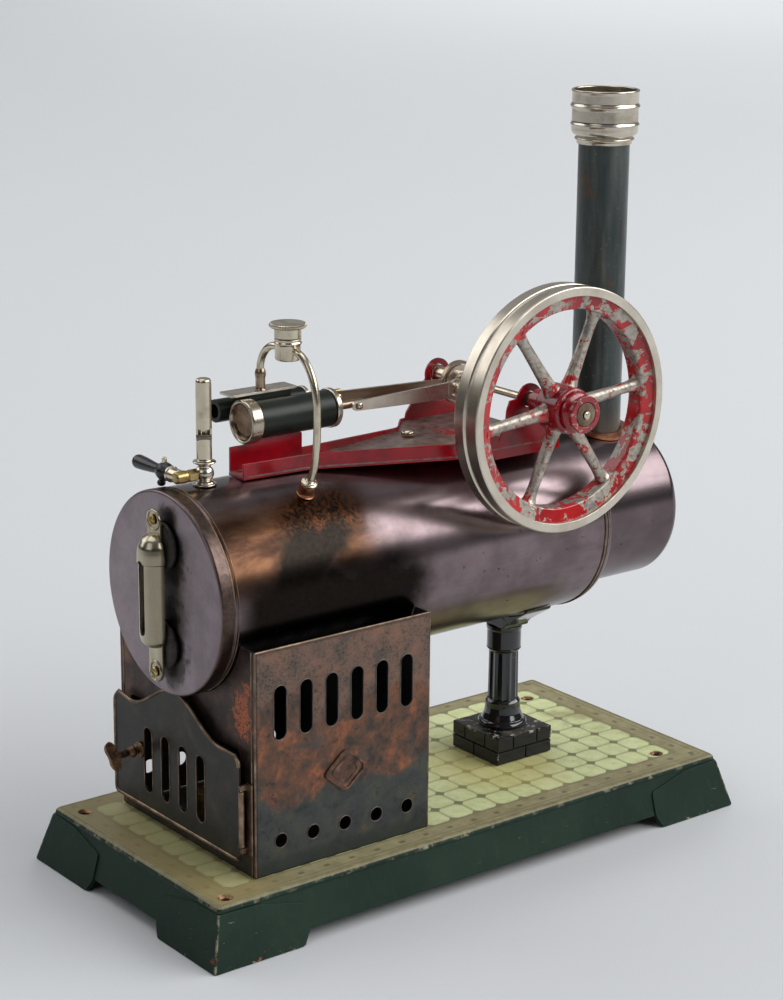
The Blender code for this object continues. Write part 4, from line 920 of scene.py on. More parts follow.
def foot_mesh(side_x, side_y):
    """The two raised foot panels that meet at one corner."""
    panels = []
    for plane, across, side, outward, reach, outline in (
            ("XZ", 1, side_x, side_y, skirt_y,
             [(127.0, 0), (88.3, 0), (85.2, 5.0), (85.0, 14.4), (104.5, 18.8), (121.7, 19.3)]),
            ("YZ", 0, side_y, side_x, skirt_x,
             [(61.9, 0), (24.8, 0), (21.9, 5.0), (21.8, 14.6), (40.0, 18.6), (56.5, 19.3)])):
        points = soften([(side * along, z) for along, z in outline], 1.2, True)
        mesh = flat_mesh([points], plane, -0.9, 0.0, 0.35)
        for vertex in mesh.vertices:
            depth = -vertex.co[across] / MM
            vertex.co[across] = outward * (reach(vertex.co.z / MM) - depth) * MM
        panels.append(mesh)
    shape = bmesh.new()
    shape.from_mesh(joined(panels))
    return finished(shape)


def build_base():
    inset = 0.6
    profile = [(-1.6, 20.9), (-1.2, 21.55), (-0.3, 21.78), (0.6, 21.6), (1.25, 20.95), (1.55, 19.95),
               (1.45, 19.35), (7.08 - SKIRT_LEAN * 18.9 - inset, 18.9), (7.08 - inset, 0.0),
               (5.6 - inset, 0.0), (0.2, 18.4), (-1.6, 20.0)]
    rings = [rounded_rectangle(120 + flare, 54.9 + flare, 1.4 + max(0.0, flare) * 0.15, z)
             for flare, z in profile]
    tray = loft_mesh(rings)
    long_gap = flat_mesh([[(-88, -1), (88, -1), (85, 5), (-85, 5)]], "XZ", -90, 90, 0)
    short_gap = flat_mesh([[(-24.5, -1), (24.5, -1), (21.5, 5), (-21.5, 5)]], "YZ", -160, 160, 0)
    tray = cut_mesh(tray, [long_gap, short_gap])
    piece("base_skirt", bevelled(tray, 0.25, 2, 40), GREEN, ROOT, ["base_plate"])
    top = flat_mesh([[(x, y) for x, y, z in rounded_rectangle(119.3, 54.2, 1.0, 0)]], "XY", 20.7, 21.75, 0.2)
    sinks = [lathe_mesh([(0, 22.6), (3.5, 22.6), (2.9, 21.75), (1.7, 20.6), (1.7, 18), (0, 18)], "Z", hole)
             for hole in HOLES]
    piece("base_tile_top", cut_mesh(top, sinks), TILES, ROOT)
    for index, hole in enumerate(HOLES):
        lathe("base_hole_rim_" + str(index),
              [(3.1, 21.82), (2.6, 21.5), (1.7, 20.7), (1.6, 19.6), (1.9, 19.6), (3.0, 21.3)], "Z", hole,
              RUSTY, closed=True, sides=32, soft=0.15)
    for name, side_x, side_y in (("aa", -1, -1), ("ab", -1, 1), ("ba", 1, -1), ("bb", 1, 1)):
        piece("base_foot_" + name, foot_mesh(side_x, side_y), GREEN, ROOT)


# ---------------------------------------------------------------- firebox and door

def build_firebox():
    left, right, half, top = FIREBOX
    low, wall = (BASE_TOP + GAP, 0.8)
    slots = [slot_outline(-86.5 + 11.35 * i, 72.4, 93.0) for i in range(6)]
    holes = [circle((-86.3 + 14.3 * i, 34.0 - 0.25 * i), 2.8) for i in range(5)]
    sheet = [(left, low), (right, low), (right, top), (left, top)]
    walls = [flat_mesh([sheet, *slots, *holes], "XZ", -half, wall - half, 0.2),
             flat_mesh([sheet, *slots, *holes], "XZ", half - wall, half, 0.2)]
    seat_r = BOILER_R + 0.45
    shoulder = math.degrees(math.asin((BOILER_Z - top) / seat_r))
    under = arc((0, BOILER_Z), seat_r, 360 - shoulder, 180 + shoulder, 48)
    panel = [(-half + 0.1, low), (half - 0.1, low), (half - 0.1, top), *under, (-half + 0.1, top)]
    doorway = soften([(-35, 27), (38, 27), (38, 68), (-35, 68)], 2.0, True)
    walls.append(flat_mesh([panel, doorway], "YZ", left, left + wall, 0.2))
    walls.append(flat_mesh([panel], "YZ", right - wall, right, 0.2))
    piece("firebox_walls", joined(walls), PATINA, ROOT, ["firebox_shell"])
    # folded seams at the corners and a turned top edge on both long sides
    seams = []
    for side in (-1, 1):
        for x, inset, radius in ((left + 0.25, 0.2, 0.42), (left + 0.02, 1.9, 0.28),
                                 (right - 0.3, 0.2, 0.36)):
            y = side * (half - inset)
            seams.append(wire_mesh([(x, y, low + 0.2), (x, y, (low + top) / 2), (x, y, top - 0.1)], radius))
    for y in (-half + 0.35, half - 0.35):
        seams.append(wire_mesh([(left + 0.3, y, top - 0.25), ((left + right) / 2, y, top - 0.25),
                                (right - 0.3, y, top - 0.25)], 0.45))
    piece("firebox_seams", joined(seams), EDGE, ROOT)
    rims = [wire_mesh([(x, -half - 0.02, z) for x, z in outline], 0.22, True, 2) for outline in slots + holes]
    piece("firebox_slot_rims", joined(rims), RIM, ROOT)


def build_emblem():
    """A blank rounded diamond with a raised border."""
    x, z, across, up = (-58.0, 54.3, 10.1, 8.7)
    face = -FIREBOX[2]

    def diamond(scale):
        corners = [(x - across * scale, z), (x, z - up * scale), (x + across * scale, z), (x, z + up * scale)]
        return soften(corners, 2.6, True, 6)
    border = flat_mesh([diamond(1.0), diamond(0.88)], "XZ", face - 0.85, face, 0.25)
    field = flat_mesh([diamond(0.9)], "XZ", face - 0.35, face - 0.02, 0.05)
    inner = flat_mesh([diamond(0.66), diamond(0.6)], "XZ", face - 0.6, face - 0.3, 0.12)
    piece("side_emblem_plate", joined([border, field, inner]), EMBLEM, ROOT, ["side_emblem"])


DOOR_MIDDLE = 2.55


def door_outline(inset=0.0):
    near, far, low, shoulder = (-39.3 + inset, 44.4 - inset, 27.6 + inset, 68.0 - inset)
    hump = []
    for step in range(41):
        across = 30.0 * (1 - step / 20)
        hump.append((DOOR_MIDDLE + across, shoulder + 6.2 * (1 + math.cos(math.pi * across / 30.0))))
    corners = soften([(near + 2.4, shoulder - 0.15), (near, shoulder - 2.4), (near, low), (far, low),
                      (far, shoulder - 1.6), (far - 3.0, shoulder + 1.3)], 2.0)
    return [*corners, *[point for point in hump if near + 3.0 < point[0] < far - 4.0]]


def build_door():
    body = "firebox_door"
    slots = [slot_outline(-14.6 + 11.75 * i, 34.4, 60.4) for i in range(4)]
    knob = (25.9, 50.0)
    panel = flat_mesh([door_outline(), *slots, circle(knob, 1.3)], "YZ", -100.9, -100.2, 0.12)
    piece("door_panel", panel, BRONZE, body, ["firebox_door"])
    outline = door_outline(0.35)
    hinged = [point for point in outline if point[0] < -38.4 and 29.0 < point[1] < 60.0]
    start = outline.index(hinged[-1])
    free = [point for point in outline[start + 1:] + outline[:start] if point not in hinged]
    bead = joined([wire_mesh([(-100.72, y, z) for y, z in free], 0.7),
                   wire_mesh([(-100.58, -38.9, z) for z in (29.6, 44.0, 58.4, 66.0)], 0.34)])
    knuckle = [lathe_mesh(soften(tube_profile(0.6, radius, 33.6, high), 0.2, True), "Z", HINGE, True, 24)
               for radius, high in ((1.1, 54.8), (1.22, 34.6))]
    piece("door_edge_bead", joined([bead, *knuckle]), EDGE, body)
    # thin rims round the slots, real edge geometry in the lighter edge bronze, whose paler colour is a painted
    # highlight along the slot edges
    rims = [wire_mesh([(-100.95, y, z) for y, z in outline], 0.2, True, 2) for outline in slots]
    piece("door_slot_highlight_rims", joined(rims), EDGE, body)
    lathe("door_pin", bar_profile(0.45, 31.6, 56.8), "Z", HINGE, NICKEL, ["door_hinge_pin"],
          sides=20, soft=0.15)
    lugs = [block_mesh((-98.6, -43.7, 30.6), (-97.8, -39.8, 57.8), 0.25)]
    for low, high in ((31.0, 33.3), (55.1, 57.4)):
        lugs.append(block_mesh((-101.3, -41.2, low), (-98.1, -39.7, high), 0.5))
    piece("door_bracket", joined(lugs), EDGE, ROOT, ["door_hinge_bracket"])
    lathe("door_washer",
          [(1.25, -102.15), (3.0, -102.15), (3.2, -101.6), (3.0, -101.15), (1.25, -101.15)][::-1], "X", knob,
          RUSTY, ["door_knob_washer"], body, closed=True, sides=36)
    spindle = lathe_mesh(soften([(0, -99.4), (0.9, -99.4), (0.9, -103.2), (2.0, -103.6), (2.4, -104.7),
                                 (1.9, -105.8), (1.2, -106.4), (1.5, -108.4), (1.3, -112.2), (0, -112.4)],
                                0.4), "X", knob, False, 32)
    turns = [2 * math.pi * step / 48 for step in range(48)]
    lobes = [(-113.0 + 2.75 * math.cos(turn) * (1 - 0.34 * math.cos(turn) ** 8), 5.7 * math.sin(turn))
             for turn in turns]
    tilt = Matrix.Translation((0, knob[0] * MM, knob[1] * MM)) @ Matrix.Rotation(math.radians(-42), 4, "X")
    wing = flat_mesh([lobes], "XZ", -0.85, 0.85, 0.6, tilt)
    piece("door_turn_knob", joined([spindle, wing]), RUSTY, "door_knob", ["door_knob"], 50)


# ---------------------------------------------------------------- boiler, smokebox and chimney

def build_boiler():
    across = BOILER_AXIS
    shell = [(36.6, 74.2), (37.4, 74.2), (37.4, -99.2), (37.55, -99.5), (37.4, -99.9), (37.4, -100.3),
             (36.6, -100.3)]
    lathe("boiler_barrel", shell, "X", across, BOILER, ["boiler_shell"], closed=True,
          sides=180, soft=0.12)
    cap = [(0, -105.3), (36.4, -105.3), (36.85, -104.8), (36.85, -100.6), (37.75, -100.6), (37.75, -105.2),
           (37.45, -105.9), (36.8, -106.2), (0, -106.2)]
    lathe("boiler_cap", cap, "X", across, CAP, ["boiler_front_cap"], sides=180, soft=0.35)
    beads = [lathe_mesh(soften(tube_profile(inner, outer, low, high), 0.2, True), "X", across, True, 160)
             for inner, outer, low,
             high in ((36.9, 37.72, -100.75, -100.25), (36.9, 37.62, -98.9, -98.5), (36.9, 37.85, 73.9, 74.6),
                      (36.9, 37.6, 75.6, 75.9))]
    piece("boiler_bead_rings", joined(beads), EDGE, ROOT)
    rear = [(0, 79.5), (34.4, 79.5), (36.2, 78.9), (37.3, 77.3), (37.4, 74.9), (37.0, 74.5), (36.6, 74.5),
            (36.6, 77.6), (35.6, 78.6), (0, 78.6)]
    lathe("boiler_back_cap", rear, "X", across, BOILER, ["boiler_rear_cap"], sides=180,
          soft=0.4)
    drum = [(0, 120.1), (28.3, 120.1), (30.4, 119.2), (31.3, 117.1), (31.3, 82.4), (31.7, 80.8), (32.8, 79.9),
            (32.6, 79.8), (30.5, 80.2), (30.5, 117.1), (28.0, 119.3), (0, 119.3)]
    mesh = lathe_mesh(soften(drum, 0.6), "X", across, False, 160)
    mesh = cut_mesh(mesh, [lathe_mesh(bar_profile(8.0, 140, 160), "Z", CHIMNEY, False, 48)])
    piece("smokebox", mesh, BOILER, ROOT, ["smokebox_drum"])


def build_chimney():
    clearance = lathe_mesh(bar_profile(31.6, 60, 140), "X", BOILER_AXIS, False, 160)
    tube = lathe_mesh(soften(tube_profile(9.3, 10.1, 143, 269.8), 0.2, True), "Z", CHIMNEY, True, 96)
    piece("chimney", cut_mesh(tube, [clearance]), FLUE, ROOT, ["chimney_tube"])
    clearance = lathe_mesh(bar_profile(31.6, 60, 140), "X", BOILER_AXIS, False, 160)
    outside = lathe_mesh(tube_profile(32.6, 60.0, 60, 140), "X", BOILER_AXIS, True, 160)
    ring = lathe_mesh(tube_profile(10.4, 13.4, 143, 156), "Z", CHIMNEY, True, 96)
    piece("chimney_saddle_ring", cut_mesh(ring, [clearance, outside]), COPPER, ROOT,
          ["chimney_flange"], 30)
    top = 286.5
    crown = [(12.3, top - 0.3), (12.7, top), (13.3, top - 0.15), (13.45, top - 0.8), (13.1, top - 1.5),
             (13.05, top - 5.2), (13.2, top - 5.6), (13.8, top - 6.5), (13.2, top - 7.4), (13.05, top - 7.8),
             (13.05, top - 12.3), (13.15, top - 12.8), (13.65, top - 13.6), (13.1, top - 14.4),
             (13.1, top - 16.0), (12.9, top - 16.9), (12.1, top - 17.7), (11.1, top - 18.1),
             (10.95, top - 18.4), (11.75, top - 18.9), (11.75, top - 19.6), (11.0, top - 20.1),
             (10.8, top - 21.2), (10.4, top - 21.2), (10.4, top - 17.6), (12.2, top - 16.0)]
    lathe("chimney_crown", crown, "Z", CHIMNEY, PALE_NICKEL, ["chimney_cap"], closed=True,
          sides=128, soft=0.35)


# ---------------------------------------------------------------- column

def build_column():

    def fluted(radius, height, turn):
        if 44.6 < height < 64.6:
            return radius - 0.55 * (0.5 + 0.5 * math.cos(12 * turn)) ** 0.6
        return radius
    profile = [(0, 75.9), (7.2, 75.9), (7.25, 74.6), (6.9, 73.9), (6.9, 66.6), (7.1, 66.2), (6.6, 65.5),
               (5.95, 65.0), (5.9, 64.5), (5.95, 60), (6.0, 54), (6.05, 48), (6.1, 44.7), (6.6, 44.2),
               (7.2, 43.4), (7.1, 42.6), (7.1, 41.0), (7.5, 38.6), (8.4, 36.6), (8.6, 36.0), (9.5, 35.7),
               (10.0, 34.7), (9.8, 33.7), (9.5, 33.5), (0, 33.5)]
    mesh = lathe_mesh(soften(profile, 0.25), "Z", COLUMN, False, 144, fluted)
    piece("column_fluted_shaft", mesh, BLACK, ROOT, ["column_shaft"], 40)
    under = arc((0, BOILER_Z), BOILER_R + GAP, 304, 236, 24)
    flare = [(-20.3, 86.2), (-14.0, 82.2), (-9.6, 79.4), (-7.4, 77.4), (-7.2, 76.2), (7.2, 76.2), (7.4, 77.4),
             (9.6, 79.4), (14.0, 82.2), (20.3, 86.2)]
    piece("column_cradle", flat_mesh([under + flare], "YZ", COLUMN[0] - 6.5, COLUMN[0] + 6.5, 0.7), BLACK,
          ROOT, ["column_saddle"])
    x, half, joint = (COLUMN[0], 14.2, 0.35)
    blocks = [block_mesh((x - half + 0.7, -half + 0.7, 22.2), (x + half - 0.7, half - 0.7, 32.6), 0)]
    for low, high, splits in ((22.1, 27.35, (-1.0, 0.05, 1.0)), (27.7, 33.2, (-1.0, -0.42, 0.46, 1.0))):
        for start, stop in zip(splits, splits[1:]):
            first, last = (x + half * start, x + half * stop)
            for depth_start, depth_stop in zip(splits, splits[1:]):
                near, far = (half * depth_start, half * depth_stop)
                corner = [(first + (joint / 2 if start > -1 else 0), near + (joint / 2 if depth_start > -1 else 0)),
                          (last - (joint / 2 if stop < 1 else 0), far - (joint / 2 if depth_stop < 1 else 0))]
                blocks.append(block_mesh((*corner[0], low), (*corner[1], high), 0.4))
    cover = block_mesh((x - half + 0.9, -half + 0.9, 32.4), (x + half - 0.9, half - 0.9, 33.22), 0.1)
    piece("column_block_plinth", joined([*blocks, cover]), PLINTH, ROOT, ["column_plinth"])


# ---------------------------------------------------------------- engine bed and cylinder

def ribbon_mesh(stations, thickness):
    """An upright bent strip through (x, y, bottom, top), closed, with rounded edges."""
    shape = bmesh.new()
    lines = []
    for index, (x, y, low, high) in enumerate(stations):
        before = stations[max(index - 1, 0)]
        after = stations[min(index + 1, len(stations) - 1)]
        along = Vector((after[0] - before[0], after[1] - before[1])).normalized()
        side = Vector((-along.y, along.x)) * (thickness / 2)
        lines.append([shape.verts.new(Vector((x + side.x * s, y + side.y * s, z)) * MM) for s,
                      z in ((-1, low), (1, low), (1, high), (-1, high))])
    for first, second in zip(lines, lines[1:]):
        quad_strip(shape, first, second)
    shape.faces.new(lines[0][::-1])
    shape.faces.new(lines[-1])
    return bevelled(finished(shape), 0.3, 3, 40)


def bent(line, radius):
    """The stations of a strip with its corners rounded in plan."""
    flat_points = soften([(x, y) for x, y, low, high in line], radius, False, 5)
    lengths = [0.0]
    for (x, y, low, high), (x2, y2, low2, high2) in zip(line, line[1:]):
        lengths.append(lengths[-1] + math.hypot(x2 - x, y2 - y))
    result, travelled, last = ([], 0.0, flat_points[0])
    for x, y in flat_points:
        travelled += math.hypot(x - last[0], y - last[1])
        last = (x, y)
        index = max((i for i in range(len(lengths) - 1) if lengths[i] <= travelled + 1e-06 or i == 0))
        part = min(1.0, (travelled - lengths[index]) / (lengths[index + 1] - lengths[index]))
        low = line[index][2] * (1 - part) + line[index + 1][2] * part
        high = line[index][3] * (1 - part) + line[index + 1][3] * part
        result.append((x, y, low, high))
    return result


def bearing_outline(foot_z, far):
    left = [(33.2, 175.6), (31.8, 172.0), (31.4, 168.0), (27.6, 159.5), (26.0, foot_z)]
    if far:
        left = [(36.6, 173.0), (33.6, 172.2), (33.2, 169.6), (31.2, 168.8), (29.8, 164.5), (27.2, 161.0),
                (26.0, foot_z)]
    right = [(58.5, foot_z), (58.5, 159.0), (56.6, 161.6), (54.4, 167.0), (53.6, 171.5), (50.4, 173.4)]
    boss = arc(SHAFT_AXIS, 6.1, -12, 192 if far else 172, 28)
    return soften(right, 1.6) + boss + soften(left, 1.0)


def build_bed():
    floor = [(-74, -3.9), (-45, -5.4), (7, -25.8), (58.5, -25.8), (58.5, 29.9), (24.5, 29.9), (14, 18),
             (-41, 5.9), (-74, 5.9)]
    parts = [flat_mesh([soften(floor, 1.5, True)], "XY", 156.8, 157.7, 0.2)]
    near = [(-74, -3.9, 156.6, 162.8), (-45, -5.4, 156.6, 162.8), (7, -25.8, 156.6, 162.8),
            (28, -25.8, 154.4, 162.8)]
    parts.append(ribbon_mesh(bent(near, 5.0), 0.8))
    far = [(-42, 5.9, 156.6, 162.2), (14, 18.0, 156.6, 159.4), (24.5, 29.9, 156.6, 159.0),
           (27, 29.9, 156.6, 159.0)]
    parts.append(ribbon_mesh(bent(far, 3.0), 0.8))
    stand = [(-73, 156.6), (-41, 156.6), (-41, 168.1), (-62.2, 168.1), (-62.2, 166.9), (-73, 166.9)]
    parts.append(flat_mesh([soften(stand, 0.5, True)], "XZ", 5.45, 6.35, 0.25))
    for y, foot, far_side, bore in ((-25.8, 153.7, False, 3.2), (29.9, 152.7, True, 3.8)):
        parts.append(flat_mesh([bearing_outline(foot, far_side), circle(SHAFT_AXIS, bore)], "XZ", y - 0.45,
                               y + 0.45, 0.25))
    piece("bed_sheet", joined(parts), BED, ROOT, ["engine_bed"], 40)
    screw = lathe_mesh(soften([(0, 160.3), (1.6, 160.2), (2.4, 159.6), (2.6, 158.9), (2.6, 158.0),
                               (0, 158.0)], 0.3), "Z", (12.5, 10.0), False, 32)
    slot = block_mesh((9.5, 9.65, 159.6), (15.5, 10.35, 161.0), 0)
    piece("bed_fixing_screw", cut_mesh(screw, [slot]), NICKEL, ROOT, ["bed_screw"])
    lathe("far_bush",
          [(1.8, 31.2), (2.8, 31.2), (3.5, 30.8), (3.5, 29.0), (3.3, 28.4), (3.3, 21.0), (3.0, 19.6),
           (1.8, 19.6)], "Y", SHAFT_AXIS, NICKEL, ["far_bearing_bush"], closed=True)
    lathe("near_bush", [(1.8, -22.6), (2.6, -22.6), (2.9, -23.1), (2.9, -28.1), (2.6, -28.6), (1.8, -28.6)],
          "Y", SHAFT_AXIS, EDGE, ["near_bearing_bush"], closed=True)


def look_dished_cover():
    """Nickel round the rim, stained brown in the dish."""
    look = Look("stained_cover_nickel")
    mottle = look.noise(240, 6, 0.62, seed=263.0)
    dy = look.y - CYLINDER[0] * MM
    dz = look.z - CYLINDER[1] * MM
    reach = length(dy, dz)
    centre = reach.rise(0.007, 0.0063) * look.x.rise(-0.0655, -0.066)
    rim = look.mix(mottle, (0.58, 0.52, 0.42), (0.36, 0.3, 0.22))
    dish = mottle.ramp((0.35, (0.09, 0.055, 0.035)), (0.6, (0.22, 0.14, 0.085)), (0.8, (0.4, 0.28, 0.18)))
    look.bump(mottle, 0.05, 0.08)
    return look.done(look.mix(centre, rim, dish), mottle.blend(0.16, 0.34), 1.0)


def build_cylinder():
    lathe("cylinder_tube", tube_profile(5.4, 7.0, -62.5, -29.5), "X", CYLINDER, DARK,
          ["cylinder_barrel"], closed=True, sides=96)
    rear = [(0, -62.8), (7.8, -62.8), (8.2, -63.2), (8.2, -67.3), (7.9, -67.8), (7.3, -67.9), (6.9, -67.6),
            (6.6, -66.9), (5.4, -66.3), (3.2, -66.0), (0, -65.9)]
    lathe("cylinder_back_cover", rear, "X", CYLINDER, look_dished_cover(), ["cylinder_rear_cover"],
          sides=96, soft=0.25)
    front = [(1.9, -26.3), (3.0, -26.3), (3.3, -26.6), (6.9, -26.7), (7.5, -27.1), (7.5, -28.9), (7.2, -29.2),
             (1.9, -29.2)]
    lathe("cylinder_gland_cover", front, "X", CYLINDER, PALE_NICKEL, ["cylinder_front_cover"],
          closed=True, sides=96, soft=0.25)
    stem = [(0, -12.2), (1.2, -12.2), (1.6, -12.6), (1.6, -55.2), (0, -55.2)]
    lathe("piston_stem", stem, "X", CYLINDER, BROWN, ["piston_rod"], "piston", sides=40, soft=0.15)
    rings = [(0, -55.6), (4.9, -55.6), (5.1, -56.0), (5.1, -57.2), (4.7, -57.4), (4.7, -57.9), (5.1, -58.1),
             (5.1, -61.2), (4.9, -61.6), (0, -61.6)]
    lathe("piston_head", rings, "X", CYLINDER, BRASS, ["piston"], "piston", soft=0.1)


def build_valve_chest():
    tube = lathe_mesh(soften(bar_profile(4.3, -70.6, -32.0), 0.35), "X", VALVE, False, 64)
    port = block_mesh((-62.0, 9.4, 176.0), (-43.0, 19.0, 183.9), 0.3)
    bore = lathe_mesh(bar_profile(2.7, -72, -30), "X", VALVE, False, 48)
    barrel = lathe_mesh(bar_profile(7.3, -80, -20), "X", CYLINDER, False, 96)
    pieces = joined([cut_mesh(tube, [bore])])
    bore = lathe_mesh(bar_profile(4.2, -72, -30), "X", VALVE, False, 48)
    piece("valve_tube", joined([pieces, cut_mesh(port, [bore, barrel])]), DARK, ROOT,
          ["valve_chest"])
    lid = soften([(-70, 8.4), (-41, 8.4), (-41, 17), (-70, 17)], 0.8, True)
    piece("chest_lid", flat_mesh([lid], "XY", 184.2, 185.1, 0.3), PALE_NICKEL, ROOT,
          ["chest_cover_plate"])
    lathe("valve_end_ring", [(1.2, -29.6), (3.6, -29.6), (4.3, -30.2), (4.3, -31.7), (1.2, -31.7)], "X",
          VALVE, NICKEL, ["valve_gland"], closed=True)
    spool = [(0, -13.0), (0.6, -13.0), (0.9, -13.3), (0.9, -40.0), (2.4, -40.0), (2.4, -44.0), (0.9, -44.0),
             (0.9, -55.0), (2.4, -55.0), (2.4, -59.0), (0, -59.0)]
    lathe("valve_spindle", spool, "X", VALVE, BRASS, ["valve_spool"], "slide_valve", sides=32,
          soft=0.1)


# ---------------------------------------------------------------- crankshaft, rods and wheel

def rivet_mesh(centre, front, back, head=1.4):
    profile = [(0, back), (0.7, back), (0.7, front), (head, front), (head * 0.92, front - 0.45),
               (head * 0.6, front - 0.8), (0, front - 0.95)]
    return lathe_mesh(soften(profile, 0.2), "Y", centre, False, 28)


def build_crankshaft():
    bend, near, far = (2.2, 3.2 - 3.3, 3.2 + 3.3)
    inner, outer = (SHAFT_X - bend, CRANK_X + bend)
    line = [(SHAFT_X, -58.6), (SHAFT_X, -30.0)]
    for centre, begin, end in (((inner, near - bend), 0, 90), ((outer, near + bend), 270, 180),
                               ((outer, far - bend), 180, 90), ((inner, far + bend), 270, 360)):
        line += arc(centre, bend, begin, end, 10)
    line += [(SHAFT_X, 20.0), (SHAFT_X, 31.4)]
    wire = wire_mesh([(x, y, SHAFT_Z) for x, y in line], 1.5, False, 6)
    tips = [lathe_mesh(soften([(0, -58.9), (0.8, -58.75), (1.5, -58.3), (1.5, -57.6), (0, -57.6)][::-1], 0.3),
                       "Y", SHAFT_AXIS, False, 32), lathe_mesh(soften([(0, 32.0), (0.8, 31.9), (1.5, 31.4),
                                                                       (1.5, 30.6), (0, 30.6)], 0.3), "Y",
                                                               SHAFT_AXIS, False, 32)]
    piece("crank_wire", joined([wire, *tips]), NICKEL, "crankshaft", ["crankshaft"], 40)
    sheave = flat_mesh([circle(ECCENTRIC, 7.0, 72), circle(SHAFT_AXIS, 1.8)], "XZ", 16.2, 18.4, 0.2)
    hub = lathe_mesh(soften(tube_profile(1.6, 3.4, 14.4, 16.4), 0.3, True), "Y", SHAFT_AXIS, True, 48)
    piece("eccentric_disc", joined([sheave, hub]), TURNED, "crankshaft", ["eccentric_sheave"])


def build_rods():
    body = "connecting_rod"
    ends = arc((CRANK_X, SHAFT_Z), 4.2, -130, 130, 32)
    outline = ends + [(27.0, SHAFT_Z + 3.25), (-14.0, SHAFT_Z + 1.95)] + arc(
        (-17.6, SHAFT_Z), 1.8, 90, 270, 14) + [(-14.0, SHAFT_Z - 1.95), (27.0, SHAFT_Z - 3.25)]
    strip = flat_mesh([outline, circle((CRANK_X, SHAFT_Z), 1.8), circle((-16.5, SHAFT_Z), 1.0)], "XZ", 2.6,
                      3.8, 0.22)
    strap = flat_mesh([soften([(26.6, 171.7), (28.2, 171.7), (28.2, 178.5), (26.6, 178.5)], 0.3, True)], "XZ",
                      2.42, 2.62, 0.08)
    seam = block_mesh((26.45, 2.35, 171.6), (26.75, 2.7, 178.6), 0.08)
    piece("con_rod", joined([strip, strap, seam, rivet_mesh((28.9, SHAFT_Z + 2.1), 2.5, 3.0, 0.9),
                             rivet_mesh((28.9, SHAFT_Z - 2.1), 2.5, 3.0, 0.9)]), TURNED, body,
          ["connecting_rod"])
    piece("crosshead_rivet", rivet_mesh((-16.5, SHAFT_Z), 2.35, 4.0), NICKEL, body,
          ["crosshead_pin"])
    body = "eccentric_strap"
    end_z = ECCENTRIC[1] + 2.1
    strap_outline = arc(ECCENTRIC, 8.6, -165, 165, 72) + arc((-16.0, end_z), 2.0, 90, 270, 16)
    ring = flat_mesh([strap_outline, circle(ECCENTRIC, 7.3, 72), circle((-16.0, end_z), 1.0)], "XZ", 16.6,
                     18.0, 0.2)
    rib = flat_mesh([circle(ECCENTRIC, 8.6, 72), circle(ECCENTRIC, 7.9, 72)], "XZ", 16.35, 18.25, 0.15)
    piece("eccentric_rod", joined([ring, rib]), BROWN, body, ["eccentric_strap"])
    piece("valve_rivet", rivet_mesh((-16.0, end_z), 16.3, 18.1), NICKEL, body, ["valve_rod_pin"])


def spoke_mesh(turn):
    outward = Vector((math.cos(turn), 0, math.sin(turn)))
    facing = Vector((0, 0, 1)).rotation_difference(outward).to_matrix().to_4x4()
    profile = [(4.4, 6.5), (3.5, 8.6), (2.9, 10.8), (2.6, 14), (2.35, 22), (2.15, 31), (2.3, 34.5),
               (2.8, 36.8), (4.0, 38.8), (5.0, 39.6)]
    mesh = lathe_mesh(soften([(0, 6.5), *profile, (0, 39.6)], 0.6), "Z", (0, 0), False, 28)
    mesh.transform(Matrix.Translation(Vector((SHAFT_X, -44.0, SHAFT_Z)) * MM)
                   @ Matrix.Diagonal((1, 0.9, 1, 1)) @ facing)
    return mesh


def build_flywheel():
    body = "crankshaft"
    rim = [(43.2, -50.35), (43.5, -50.4), (46.3, -50.4), (46.7, -50.0), (46.7, -45.0), (46.35, -44.85),
           (45.9, -44.2), (45.9, -43.5), (46.35, -42.95), (46.7, -42.8), (46.7, -37.9), (46.3, -37.5),
           (43.5, -37.5), (43.2, -37.6)]
    lathe("wheel_rim", rim, "Y", SHAFT_AXIS, TURNED, ["flywheel"], body, closed=True,
          sides=160, soft=0.2)
    web = [(43.4, -48.7), (43.4, -39.2), (42.9, -39.2), (39.6, -39.9), (38.2, -40.2), (37.7, -40.9),
           (37.7, -47.0), (38.2, -47.7), (39.6, -48.0), (42.9, -48.7)]
    web_mesh = lathe_mesh(soften(web, 0.3, True), "Y", SHAFT_AXIS, True, 160)
    hub = [(1.8, -30.5), (4.6, -30.5), (5.0, -30.9), (5.1, -36.8), (6.2, -37.6), (8.3, -38.4), (8.9, -39.2),
           (8.9, -49.8), (8.6, -50.8), (7.9, -51.3), (1.8, -51.3)]
    hub_mesh = lathe_mesh(soften(hub, 0.4, True), "Y", SHAFT_AXIS, True, 64)
    spokes = [spoke_mesh(math.radians(6 + 60 * index)) for index in range(6)]
    piece("wheel_spokes", joined([web_mesh, *spokes]), WEB, body, (), 45)
    piece("wheel_hub", hub_mesh, WORN_RED, body)
    pulley = [(1.8, -51.7), (6.8, -51.7), (7.2, -52.0), (7.2, -53.2), (5.7, -54.2), (5.5, -54.8),
              (5.7, -55.4), (7.2, -56.3), (7.2, -57.5), (6.9, -57.9), (4.9, -58.0), (4.6, -57.5),
              (1.8, -57.5)]
    lathe("belt_pulley", pulley, "Y", SHAFT_AXIS, WORN_RED, ["drive_pulley"], body, closed=True,
          sides=64, soft=0.2)
    disc = [(1.7, -57.4), (4.4, -57.4), (4.5, -57.9), (3.2, -58.2), (2.3, -58.3), (1.7, -58.1)]
    lathe("pulley_boss", disc, "Y", SHAFT_AXIS, EDGE, (), body, closed=True, sides=48, soft=0.1)


# ---------------------------------------------------------------- fittings

